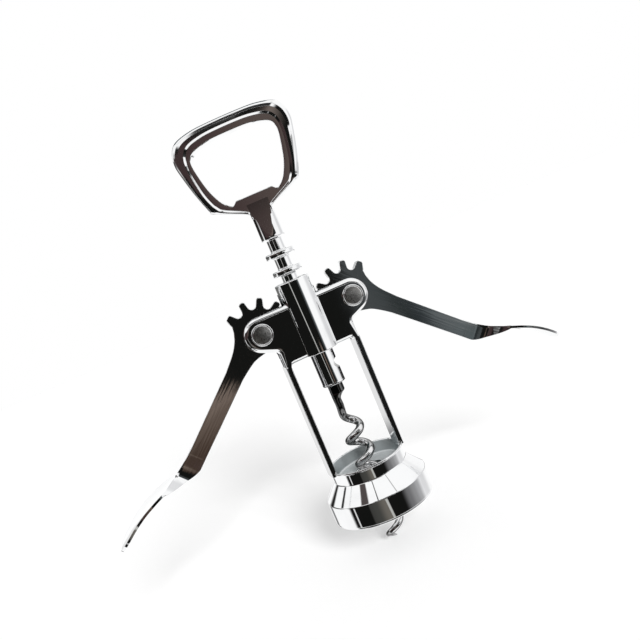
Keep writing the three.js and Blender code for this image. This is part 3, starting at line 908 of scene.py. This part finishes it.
def plug_stations():
    """Centres and radii down the plug, from inside the ferrule."""
    levels = [(FERRULE_BOTTOM + 5.3, PLUG_RADIUS - 0.15), (FERRULE_BOTTOM + 5.1, PLUG_RADIUS)]
    levels += [(FERRULE_BOTTOM - k * 0.8, PLUG_RADIUS) for k in range(5)]
    return [(Vector((0, 0, z)), radius) for z, radius in levels]


def nose_stations():
    """Centres and radii where the plug narrows into the wire, which leaves it flush with one side."""
    stations = []
    for k in range(NOSE_STEPS + 1):
        share = k / NOSE_STEPS
        radius = WIRE_RADIUS + (PLUG_RADIUS - WIRE_RADIUS) * (1 - share) ** NOSE_CURVE
        z = PLUG_BOTTOM + NOSE_RISE - (NOSE_RISE + NOSE_DROP) * share
        centre = worm_centre(max(PLUG_BOTTOM - z, 0))
        move = (PLUG_RADIUS - radius) / (PLUG_RADIUS - WIRE_RADIUS)
        stations.append((Vector((centre.x * move, centre.y * move, z)), radius))
    return stations


def wire_stations():
    """Centres and radii down the coiled wire to its point."""
    stations = []
    for i in range(1, WIRE_STEPS + 1):
        drop = NOSE_DROP + (WORM_LENGTH - NOSE_DROP) * i / WIRE_STEPS
        left = max(min((WORM_LENGTH - drop) / TIP_LENGTH, 1), 0)
        stations.append((worm_centre(drop), TIP_RADIUS + (WIRE_RADIUS - TIP_RADIUS) * math.sqrt(left)))
    return stations


def worm():
    """The wire and its plug in one skin: square with round corners at the plug, round along the wire."""
    plug, nose = plug_stations(), nose_stations()
    stations = plug + nose + wire_stations()
    rings = []
    across = Vector((math.sin(PLUG_TURN), -math.cos(PLUG_TURN), 0))
    last = len(stations) - 1
    for i, (centre, radius) in enumerate(stations):
        along = (stations[min(i + 1, last)][0] - stations[max(i - 1, 0)][0]).normalized()
        if i < len(plug) + len(nose):
            along = Vector((0, 0, -1)).lerp(along, max(i - len(plug), 0) / len(nose)).normalized()
        across = (across - along * across.dot(along)).normalized()
        third = along.cross(across)
        square = 2 + (PLUG_SQUARENESS - 2) * max((radius - WIRE_RADIUS) / (PLUG_RADIUS - WIRE_RADIUS), 0)
        ring = []
        for s in range(WIRE_SIDES):
            turn = 2 * math.pi * s / WIRE_SIDES
            reach = radius * (abs(math.cos(turn)) ** square + abs(math.sin(turn)) ** square) ** (-1 / square)
            ring.append(tuple(centre + (across * math.cos(turn) + third * math.sin(turn)) * reach))
        rings.append(ring)
    return skinned_piece("worm_body", rings)


dressed(worm(), worm_steel, "handle", "worm", sharp=50)


# Opener head

HEAD_HEIGHT = 38.5
HEAD_HALF_WIDTH = 24.2
HEAD_HALF_THICKNESS = 3.3
HEAD_EDGE = 1.2
NECK_RADIUS = 4.8
NECK_TIP_RADIUS = 1.6
NECK_TIP_RISE = 3.6
TONGUE_TOP = 47.6
TONGUE_BOTTOM = 34.2
TONGUE_REACH = 5.2
TONGUE_HALF_WIDTH = 3.5
BRIDGE_DROP = 2.5
BRIDGE_SPREAD = 1.0
BRIDGE_PROUD = 0.6
RING_CENTRE = 62.0
RING_SECTIONS = 240
# Shares of the head's half width and height, from beside the neck round to the top
OUTER_SHARES = [
    (0.18, -0.05), (0.19, 0.0), (0.72, 0.15), (0.765, 0.177), (0.8, 0.231), (0.884, 0.392),
    (0.979, 0.642), (1.0, 0.745), (0.965, 0.85), (0.85, 0.94), (0.58, 0.987), (0.25, 1.0),
]
FACE_SHARES = [
    (0.16, -0.05), (0.19, 0.012), (0.56, 0.132), (0.645, 0.185), (0.7, 0.247), (0.765, 0.37),
    (0.818, 0.572), (0.826, 0.69), (0.79, 0.79), (0.68, 0.862), (0.46, 0.9), (0.2, 0.915),
]
# The bevel's fall from the face's raised edge to the rim, as shares of its width and depth
HEAD_BEVEL = [(0.42, 0.09), (0.68, 0.24), (0.85, 0.48), (0.95, 0.76), (1.0, 1.0)]
FACE_SINK = 0.6
BEAD_WIDTH = 0.9
OPENING_HALF_WIDTH = 17.6
OPENING_HEIGHT = 25
OPENING_BASE = 50.6
# Shares of the opening's half width and height, from the end of the lip round to the top
OPENING_SHARES = [
    (0.4261, 0.0), (0.47, -0.035), (0.545, -0.05), (0.715, 0.06), (0.86, 0.27), (0.94, 0.48),
    (1.0, 0.73), (0.965, 0.85), (0.86, 0.915), (0.62, 0.965), (0.34, 0.99),
]


def closed_curve(shares, half_width, base, height, steps=5):
    """A closed smooth curve through both sides of an outline of shares, from the ring's centre."""
    points = both_sides([(a * half_width, base + b * height) for a, b in shares])
    run = smooth_run([points[-1]] + points + points[:2], steps)[steps : steps * (len(points) + 1)]
    return [Vector((x, z - RING_CENTRE)) for x, z in run]


def ray_reach(outline, angle):
    """How far an outline lies from the ring's centre at an angle."""
    direction = Vector((math.cos(angle), math.sin(angle)))
    return max(reach for _, reach in crossings(outline, Vector((0, 0)), direction))


def head_ring():
    """The ring round the opening, in sections that each have a sunk face, a raised edge and a bevel."""
    outer = closed_curve(OUTER_SHARES, HEAD_HALF_WIDTH, HEAD_SHOULDER, HEAD_HEIGHT)
    face = closed_curve(FACE_SHARES, HEAD_HALF_WIDTH, HEAD_SHOULDER, HEAD_HEIGHT)
    opening = closed_curve(OPENING_SHARES, OPENING_HALF_WIDTH, OPENING_BASE, OPENING_HEIGHT)
    half = HEAD_HALF_THICKNESS
    depth = half - HEAD_EDGE
    sunk = -half + FACE_SINK
    points = []
    for k in range(RING_SECTIONS):
        angle = 2 * math.pi * k / RING_SECTIONS
        inner, flat, rim = (ray_reach(outline, angle) for outline in (opening, face, outer))
        corners = [(inner, sunk, 0.45), (flat - BEAD_WIDTH, sunk, 0.5), (flat, -half, 0.3)]
        corners += [(flat + (rim - flat) * a, -half + depth * b, 0.4) for a, b in HEAD_BEVEL]
        section = rounded_outline(corners + [(r, -y, c) for r, y, c in corners[::-1]], 3)
        points += [(r * math.cos(angle), y, RING_CENTRE + r * math.sin(angle)) for r, y in section]
    across = len(section)
    faces = []
    for k in range(RING_SECTIONS):
        a, b = k * across, (k + 1) % RING_SECTIONS * across
        faces += [(a + i, b + i, b + (i + 1) % across, a + (i + 1) % across) for i in range(across)]
    return outward(piece_from("opener_head_body", points, faces))


def neck_wedge(side):
    """The wedge cut from one face of the neck and ring, which leaves a flat tongue."""
    face = HEAD_HALF_THICKNESS - FACE_SINK
    top, far, low = TONGUE_TOP, NECK_RADIUS + 1, TONGUE_BOTTOM - 1
    slope = (NECK_RADIUS - face) / (top - TONGUE_BOTTOM)
    section = [(face, top), (far, top), (far, low), (NECK_RADIUS + slope, low)]
    rings = [[(x, side * y, z) for y, z in section] for x in (-TONGUE_REACH, TONGUE_REACH)]
    return skinned_piece("wedge", rings, flat=True)


def neck():
    corners = [
        (0, NECK_BOTTOM, 0),
        (NECK_RADIUS, NECK_BOTTOM, 0.5),
        (NECK_RADIUS, HEAD_SHOULDER + 0.3, 1.5),
        (NECK_TIP_RADIUS, HEAD_SHOULDER + NECK_TIP_RISE, 0.5),
        (0, HEAD_SHOULDER + NECK_TIP_RISE + 0.1, 0),
    ]
    return turned_piece("neck", rounded_outline(corners, 6), 128)


def bridge():
    """The block that joins the neck to the ring, wider at its top."""
    low, high = HEAD_SHOULDER - BRIDGE_DROP, TONGUE_TOP - 0.1
    narrow, wide = TONGUE_HALF_WIDTH, TONGUE_HALF_WIDTH + BRIDGE_SPREAD
    corners = [(-narrow, low, 0.5), (narrow, low, 0.5), (wide, high, 0.3), (-wide, high, 0.3)]
    reach = HEAD_HALF_THICKNESS + BRIDGE_PROUD
    return plate_piece("bridge", rounded_outline(corners, 3), -reach, reach, edge=0.3)


def opener_head():
    head = joined(joined(head_ring(), neck()), bridge())
    for side in (-1, 1):
        head = cut(head, neck_wedge(side))
    return turned_about_axis(head, HEAD_TURN)


dressed(opener_head(), head_chrome, "handle", "opener_head", sharp=28)


# Levers

LEVER_HALF_THICKNESS = 1.5
LEVER_EDGE = 0.3
HINGE_BORE = 2.28
GEAR_TIP = 14.4
GEAR_ROOT = 10.4
# A tooth's flank from root to tip: radius, half width, corner radius
TOOTH_FLANK = [(GEAR_ROOT, 1.6, 1.5), (GEAR_TIP, 1.22, 0.95)]
TOOTH_TURN = math.radians(360 / TEETH_ROUND)
FIRST_TOOTH = math.radians(180 / TEETH_ROUND - REST_TURN)
TEETH_ABOVE = 4
TEETH_BELOW = 2
GEAR_HEEL = (28.65, 7.4, 1.5)
ARM_OUTER = 6.15
ARM_INNER = -1.15
ARM_INNER_END = -0.9
ARM_ROOT = 18.5
ARM_END = 55
HUB_INNER = 7.1 * math.sin(LEVER_LEAN) + ARM_INNER
HUB_OUTER = GEAR_ROOT - ARM_OUTER
HUB_OUTER_SHARES = [(1.0, 0.0), (0.6, 0.18), (0.36, 0.47), (0.2, 0.84)]
HUB_INNER_SHARES = [(0.26, 0.98), (0.4, 0.61), (0.55, 0.3), (0.76, 0.12), (1.0, 0.0)]
PADDLE_LENGTH = 37.1
PADDLE_RISE = 7.3
PADDLE_HALF_WIDTH = 9.2
PADDLE_HALF_THICKNESS = 0.48
PADDLE_LEAST_HALF = 1.2
PADDLE_DISH = 0.35
# The share of the dish that lies below the blade's middle
PADDLE_DISH_LEVEL = 0.4
PADDLE_HALF_STEPS = 7
# Shares of the paddle's length, rise and half width, from the elbow to the tip
PADDLE_SHARES = [
    (-0.16, -0.03, 0.12), (-0.08, -0.015, 0.14), (0.03, 0.02, 0.165), (0.17, 0.14, 0.29),
    (0.3, 0.34, 0.8), (0.44, 0.6, 0.96), (0.58, 0.81, 1.0), (0.72, 0.93, 1.0),
    (0.86, 0.98, 0.93), (0.95, 1.0, 0.72), (1.0, 1.0, 0.38),
]
PADDLE_STATIONS = smooth_run(PADDLE_SHARES, 5)
FLARE_SHARE = 0.38
FLARE_CURVE = 1.5
# How deep the flare's ends lie in the arm and in the blade, and over how many stations it comes out
FLARE_SINK = 0.2
FLARE_START = 4
FLARE_TILT = math.radians(12)


def along_arm(u, v):
    """Turns a place along and across the arm into the lever's X and Z."""
    lean = LEVER_LEAN
    return PIVOT_REACH + u * math.sin(lean) + v * math.cos(lean), -u * math.cos(lean) + v * math.sin(lean)


def on_arm(u, v, y):
    """A place along and across the arm, at a distance from its middle plane."""
    x, z = along_arm(u, v)
    return x, y, z


def paddle_place(length_share, rise_share):
    """A place of the blade's middle, along and across the arm."""
    top = ARM_OUTER - PADDLE_HALF_THICKNESS
    return ARM_END + PADDLE_LENGTH * length_share, top + PADDLE_RISE * rise_share


def gear_corners():
    """The gear's corners, from its heel above the arm over the teeth to the hub's inner side."""
    corners = [GEAR_HEEL]
    for k in range(TEETH_ABOVE, -TEETH_BELOW - 1, -1):
        rising = TOOTH_FLANK if k < TEETH_ABOVE else TOOTH_FLANK[1:]
        for side, places in ((1, rising), (-1, TOOTH_FLANK[::-1])):
            for radius, half_width, corner in places:
                turn = FIRST_TOOTH + k * TOOTH_TURN + side * half_width / radius
                corners.append((PIVOT_REACH - radius * math.cos(turn), radius * math.sin(turn), corner))
    return corners


def lever_outline():
    """The stamping's outline: gear, hub, the arm's inner side, the elbow and the arm's outer side."""
    outline = rounded_outline(gear_corners())
    inner = smooth_run([(ARM_ROOT * u, ARM_INNER - HUB_INNER * v) for u, v in HUB_INNER_SHARES], 5)
    elbow = [paddle_place(length_share, rise_share) for length_share, rise_share, _ in PADDLE_SHARES[2::-1]]
    outer = smooth_run([(ARM_ROOT * u, ARM_OUTER + HUB_OUTER * v) for u, v in HUB_OUTER_SHARES], 5)
    run = inner + [(ARM_END, ARM_INNER_END)] + [(u, v + PADDLE_HALF_THICKNESS) for u, v in elbow] + outer
    return outline + [along_arm(u, v) for u, v in run]


def flare():
    """The arm's end, which widens from the flat bar into the underside of the blade."""
    rings = []
    stations = [s for s in PADDLE_STATIONS if s[0] < FLARE_SHARE]
    end_v = paddle_place(*stations[-1][:2])[1]
    for i, (length_share, rise_share, width) in enumerate(stations):
        u, top = paddle_place(length_share, rise_share)
        share = max(length_share / stations[-1][0], 0)
        bottom = ARM_INNER_END + (end_v - FLARE_SINK - ARM_INNER_END) * share**FLARE_CURVE
        start = LEVER_HALF_THICKNESS + 2 * LAP - FLARE_SINK * max(1 - i / FLARE_START, 0)
        wide = max(PADDLE_HALF_WIDTH * width, start)
        narrow = max(wide - (top - bottom) * math.tan(FLARE_TILT), start)
        corners = [(-wide, top, 0), (-narrow, bottom, 0.2), (narrow, bottom, 0.2), (wide, top, 0)]
        rings.append([on_arm(u, v, y) for y, v in rounded_outline(corners, 3)])
    return skinned_piece("flare", rings)


def paddle():
    """The thumb paddle: a thin blade that widens from the elbow, with a slight dish."""
    rings = []
    last = len(PADDLE_STATIONS) - 1
    for i, (length_share, rise_share, width) in enumerate(PADDLE_STATIONS):
        before, after = PADDLE_STATIONS[max(i - 1, 0)], PADDLE_STATIONS[min(i + 1, last)]
        along = (Vector(paddle_place(*after[:2])) - Vector(paddle_place(*before[:2]))).normalized()
        normal = Vector((-along.y, along.x))
        centre = Vector(paddle_place(length_share, rise_share))
        half_width = max(PADDLE_HALF_WIDTH * width, PADDLE_LEAST_HALF)
        dish = PADDLE_DISH * half_width / PADDLE_HALF_WIDTH
        ring = []
        for face in (1, -1):
            for k in range(2 * PADDLE_HALF_STEPS + 1):
                t = face * (k / PADDLE_HALF_STEPS - 1)
                rise = face * PADDLE_HALF_THICKNESS + dish * (t * t - PADDLE_DISH_LEVEL)
                place = centre + normal * rise
                ring.append(on_arm(place.x, place.y, -t * half_width))
        rings.append(ring)
    return skinned_piece("paddle", rings)


def right_lever():
    half = LEVER_HALF_THICKNESS
    lever = plate_piece("right_lever_body", lever_outline(), -half, half, edge=LEVER_EDGE)
    lever = joined(joined(lever, flare()), paddle())
    return cut(lever, drill(HINGE_BORE, -2 * half, 2 * half, 64, (PIVOT_REACH, 0, 0), "Y"))


lever = right_lever()
left = mirrored(lever, "left_lever_body")
dressed(lever, lever_chrome, "right_lever", "right_lever", sharp=35)
dressed(left, lever_chrome, "left_lever", "left_lever", sharp=35)


# Spindle, carried over from the solids

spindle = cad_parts["spindle"]
spindle.data.materials.clear()
spindle.data.materials.append(worm_steel)


# Floor and room light

FLOOR_HEIGHT = -98.2
FLOOR_HALF = 3.0
FLOOR_COLOUR = (0.8, 0.8, 0.8, 1)
# What the floor adds for the camera alone, so that it shows white away from the shadow
FLOOR_GLOW = 0.235
SUN_STRENGTH = 3.1
SUN_SPREAD = math.radians(17)
SUN_SIDE = (0.1, -0.86, 0.4)
ROOM_LIGHT = 0.57
WHITE = (1, 1, 1, 1)


def floor():
    mesh = bpy.data.meshes.new("floor")
    height = (FLOOR_HEIGHT + PIVOT_RISE) * MM
    corners = [(x * FLOOR_HALF, y * FLOOR_HALF, height) for x, y in ((-1, -1), (1, -1), (1, 1), (-1, 1))]
    mesh.from_pydata(corners, [], [(0, 1, 2, 3)])
    plane = placed("floor", mesh)
    material = bpy.data.materials.new("pale_floor")
    material.use_nodes = True
    tree = material.node_tree
    tree.nodes.clear()
    matt = node(tree, "ShaderNodeBsdfDiffuse", {"Color": FLOOR_COLOUR}).outputs[0]
    glow = node(tree, "ShaderNodeEmission", {"Color": WHITE, "Strength": FLOOR_GLOW}).outputs[0]
    both = node(tree, "ShaderNodeAddShader", {0: matt, 1: glow}).outputs[0]
    clear = node(tree, "ShaderNodeBsdfTransparent").outputs[0]
    path = node(tree, "ShaderNodeLightPath").outputs
    back = node(tree, "ShaderNodeNewGeometry").outputs["Backfacing"]
    shown = node(tree, "ShaderNodeMixShader", {0: path["Is Camera Ray"], 1: matt, 2: both}).outputs[0]
    sided = node(tree, "ShaderNodeMixShader", {0: back, 1: shown, 2: clear})
    node(tree, "ShaderNodeOutputMaterial", {"Surface": sided.outputs[0]})
    mesh.materials.append(material)
    plane.visible_glossy = False


floor()


def soft_sun():
    """A very soft light from the front and above, which gives the floor its shadow."""
    lamp = bpy.data.lights.new("soft light", "SUN")
    lamp.energy = SUN_STRENGTH
    lamp.angle = SUN_SPREAD
    light = placed("soft light", lamp)
    light.rotation_mode = "QUATERNION"
    light.rotation_quaternion = Vector(SUN_SIDE).to_track_quat("Z", "Y")
    light.visible_glossy = False


soft_sun()


# What the chrome reflects: a studio, painted card by card over the directions round the opener

STUDIO_WHITE = (1.06, 1.06, 1.06)
STUDIO_BLACK = (0.0075, 0.0078, 0.0072)
WALL_GREY = (0.77, 0.77, 0.78)

studio = bpy.data.worlds.new("studio")
bpy.context.scene.world = studio
studio.use_nodes = True
surround = studio.node_tree
surround.nodes.clear()


def directions():
    """The bearing, from the front towards the right, and the rise above the horizon, in degrees."""
    x, y, z = parts_of(surround, node(surround, "ShaderNodeTexCoord").outputs["Generated"])
    front = math_of(surround, "MULTIPLY", y, -1.0)
    radians = (math_of(surround, "ARCTAN2", x, front), math_of(surround, "ARCSINE", z))
    return [math_of(surround, "MULTIPLY", angle, math.degrees(1)) for angle in radians]


bearing, rise = directions()


def step(value, start, end):
    return smooth_step(surround, value, start, end)


def fall(value, start, end):
    return math_of(surround, "SUBTRACT", 1.0, step(value, start, end))


def product(*values):
    total = values[0]
    for value in values[1:]:
        total = math_of(surround, "MULTIPLY", total, value)
    return total


def span(value, start, full, fade, end):
    """One from full to fade, zero before start and after end."""
    return product(step(value, start, full), fall(value, fade, end))


def card(bearings, rises):
    return product(span(bearing, *bearings), span(rise, *rises))


def laid(under, colour, mask):
    return mixed(surround, mask, under, colour)


def shade(value, *stops):
    """Colours that follow one another smoothly at increasing values."""
    first, last = stops[0][0], stops[-1][0]
    ramp = node(surround, "ShaderNodeValToRGB", {"Fac": remapped(surround, value, (first, last))})
    ramp.color_ramp.interpolation = "EASE"
    points = ramp.color_ramp.elements
    while len(points) < len(stops):
        points.new(0.5)
    for point, (place, colour) in zip(points, stops):
        point.position = (place - first) / (last - first)
        point.color = (*colour, 1)
    return ramp.outputs["Color"]


def white_walls():
    """White walls, floor and ceiling, with the right wall a little greyer."""
    wall = shade(bearing, (60, STUDIO_WHITE), (84, WALL_GREY), (104, WALL_GREY), (122, STUDIO_WHITE))
    beyond_wall = math_of(surround, "SUBTRACT", 1.0, span(rise, -30, -20, 16, 30))
    return laid(wall, STUDIO_WHITE, beyond_wall)


def back_cards(seen):
    aside = math_of(surround, "ABSOLUTE", bearing)
    # Far left: grey at the horizon, dark above it
    left_side = product(span(bearing, -160, -150, -112, -100), fall(rise, 14, 18))
    seen = laid(seen, (0.17, 0.17, 0.165), product(left_side, step(rise, -13, -6)))
    seen = laid(seen, (0.014, 0.012, 0.011), product(left_side, step(rise, 0.5, 3)))
    # High up behind: a dim blue-grey
    seen = laid(seen, (0.075, 0.1, 0.105), product(step(aside, 142, 150), span(rise, 12, 24, 64, 72)))
    # Low behind on the left: a pale grey band, dark in its upper part where the legs' side faces see it
    low_behind = product(fall(bearing, -160, -152), span(rise, -32, -26, -6, -3))
    seen = laid(seen, (0.82, 0.82, 0.82), low_behind)
    by_legs = product(low_behind, step(bearing, -168.5, -167), fall(rise, -17, -14.5))
    seen = laid(seen, (0.16, 0.16, 0.165), by_legs)
    # Two dark cards low behind, one on each side, for the flat backs of the plates
    both_cards = product(span(aside, 110, 116, 150, 156), span(rise, -16, -14.5, -8.5, -7))
    return laid(seen, (0.05, 0.052, 0.055), both_cards)


def low_share():
    """One well below the horizon."""
    return step(math_of(surround, "MULTIPLY", rise, -1.0), 9.0, 19.0)


def right_edge():
    """One left of the dark end's right edge, which is further round low down and above the horizon."""
    low, high = low_share(), span(rise, 5.0, 6.5, 15, 19)
    start = math_of(surround, "MULTIPLY_ADD", low, 8.0, math_of(surround, "MULTIPLY_ADD", high, 16.0, 20.0))
    end = math_of(surround, "MULTIPLY_ADD", low, 52.0, math_of(surround, "MULTIPLY_ADD", high, 12.0, 31.0))
    return fall(bearing, start, end)


def dark_end(seen):
    """The dark end of the studio in front, which fades through greys low on the right."""
    dark = product(step(bearing, -98, -90), right_edge(), span(rise, -40, -35, 27, 34))
    seen = laid(seen, STUDIO_BLACK, dark)
    low_right = shade(
        bearing, (28, STUDIO_BLACK), (46, (0.17, 0.17, 0.175)), (62, (0.29, 0.29, 0.295)),
        (76, (0.42, 0.42, 0.43)), (92, (0.85, 0.85, 0.86)),
    )
    return laid(seen, low_right, product(span(bearing, 27, 29, 90, 93), low_share(), step(rise, -40, -35)))


def plain_cards(seen):
    """Cards of one colour, each from where it starts and is full to where it starts to fade and ends."""
    for colour, bearings, rises in (
        # A white gap just above the horizon on the right
        (STUDIO_WHITE, (6, 10, 60, 80), (1.6, 2.2, 4.8, 5.4)),
        # Overhead: a brown card, a thin dark edge, a thin light edge, a dark edge far left, a wide dark band
        ((0.085, 0.072, 0.07), (-80, -76, -60, -55), (46, 50, 66, 70)),
        ((0.04, 0.04, 0.04), (-30.5, -29, -27, -25.5), (52, 56, 70, 74)),
        ((0.5, 0.5, 0.5), (33, 34.5, 36, 37.5), (50, 54, 66, 70)),
        ((0.04, 0.04, 0.04), (-126, -124.5, -120.5, -119), (26, 29, 38, 42)),
        ((0.03, 0.03, 0.03), (-40, -36, 15, 18), (36, 38, 55, 57)),
        # A thin bright edge low on the left
        ((0.8, 0.8, 0.8), (-84.5, -83.2, -81.5, -80.2), (-30, -26, -14, -11)),
    ):
        seen = laid(seen, colour, card(bearings, rises))
    return seen


def side_wall(seen):
    """The blue-grey side wall at the right end of the dark, in uneven bands."""
    wall = shade(
        bearing, (15.8, (0.012, 0.013, 0.013)), (17.2, (0.062, 0.068, 0.07)), (18.6, (0.055, 0.062, 0.064)),
        (20.3, (0.022, 0.027, 0.027)), (21.2, (0.03, 0.036, 0.04)), (22.4, (0.1, 0.115, 0.12)),
        (24.6, (0.085, 0.105, 0.11)), (25.4, (0.03, 0.035, 0.035)),
    )
    return laid(seen, wall, product(step(bearing, 15.0, 16.5), right_edge(), span(rise, -17, -13, -1.5, 2)))


def front_cards(seen):
    # Brown-grey card low in front, lighter towards its slanting right edge
    brown_grey = shade(
        bearing, (-48, (0.045, 0.045, 0.042)), (-32, (0.06, 0.06, 0.055)), (-12, (0.15, 0.138, 0.12))
    )
    slant = math_of(surround, "MULTIPLY_ADD", rise, 1.27, bearing)
    low_front = product(step(bearing, -49, -45), fall(slant, -33, -31), span(rise, -30, -26, -15, -13))
    seen = laid(seen, brown_grey, low_front)
    # Warm card further up, just right of the middle
    warm = shade(
        rise, (-13.6, (0.075, 0.05, 0.045)), (-12, (0.055, 0.036, 0.027)),
        (-10.2, (0.11, 0.082, 0.066)), (-7.6, (0.2, 0.155, 0.13)),
    )
    seen = laid(seen, warm, card((-4.5, -3.5, 4.6, 5.3), (-14.5, -13.5, -7.9, -7.4)))
    # Light edge that slants down to the right
    streak = product(span(slant, -36.5, -34.5, -31.5, -29.5), span(rise, -26, -22, 1.5, 4))
    seen = laid(seen, (0.5, 0.5, 0.48), streak)
    # Warm dark shade above the horizon
    shade_above = shade(
        bearing, (-40, (0.05, 0.033, 0.033)), (-27, (0.055, 0.036, 0.036)),
        (-20, (0.1, 0.078, 0.07)), (-12, (0.17, 0.14, 0.125)),
    )
    seen = laid(seen, shade_above, card((-110, -95, -14, -6), (2, 4.5, 20, 26)))
    # A dark corner low on the left
    return laid(seen, (0.01, 0.01, 0.01), card((-80, -76, -52, -46), (-58, -54, -40, -36)))


def light_surround():
    """White for the camera, the studio for glossy rays, and even light for all others."""
    seen = front_cards(side_wall(plain_cards(dark_end(back_cards(white_walls())))))
    shares = ((WHITE, ROOM_LIGHT), (WHITE, 1.0), (seen, 1.0))
    inputs = [{"Color": colour, "Strength": strength} for colour, strength in shares]
    plain, shown, mirrored = (node(surround, "ShaderNodeBackground", each).outputs[0] for each in inputs)
    path = node(surround, "ShaderNodeLightPath").outputs
    direct = node(surround, "ShaderNodeMixShader", {0: path["Is Camera Ray"], 1: plain, 2: shown}).outputs[0]
    every = node(surround, "ShaderNodeMixShader", {0: path["Is Glossy Ray"], 1: direct, 2: mirrored})
    node(surround, "ShaderNodeOutputWorld", {"Surface": every.outputs[0]})


light_surround()

bpy.context.scene.view_settings.view_transform = "Standard"
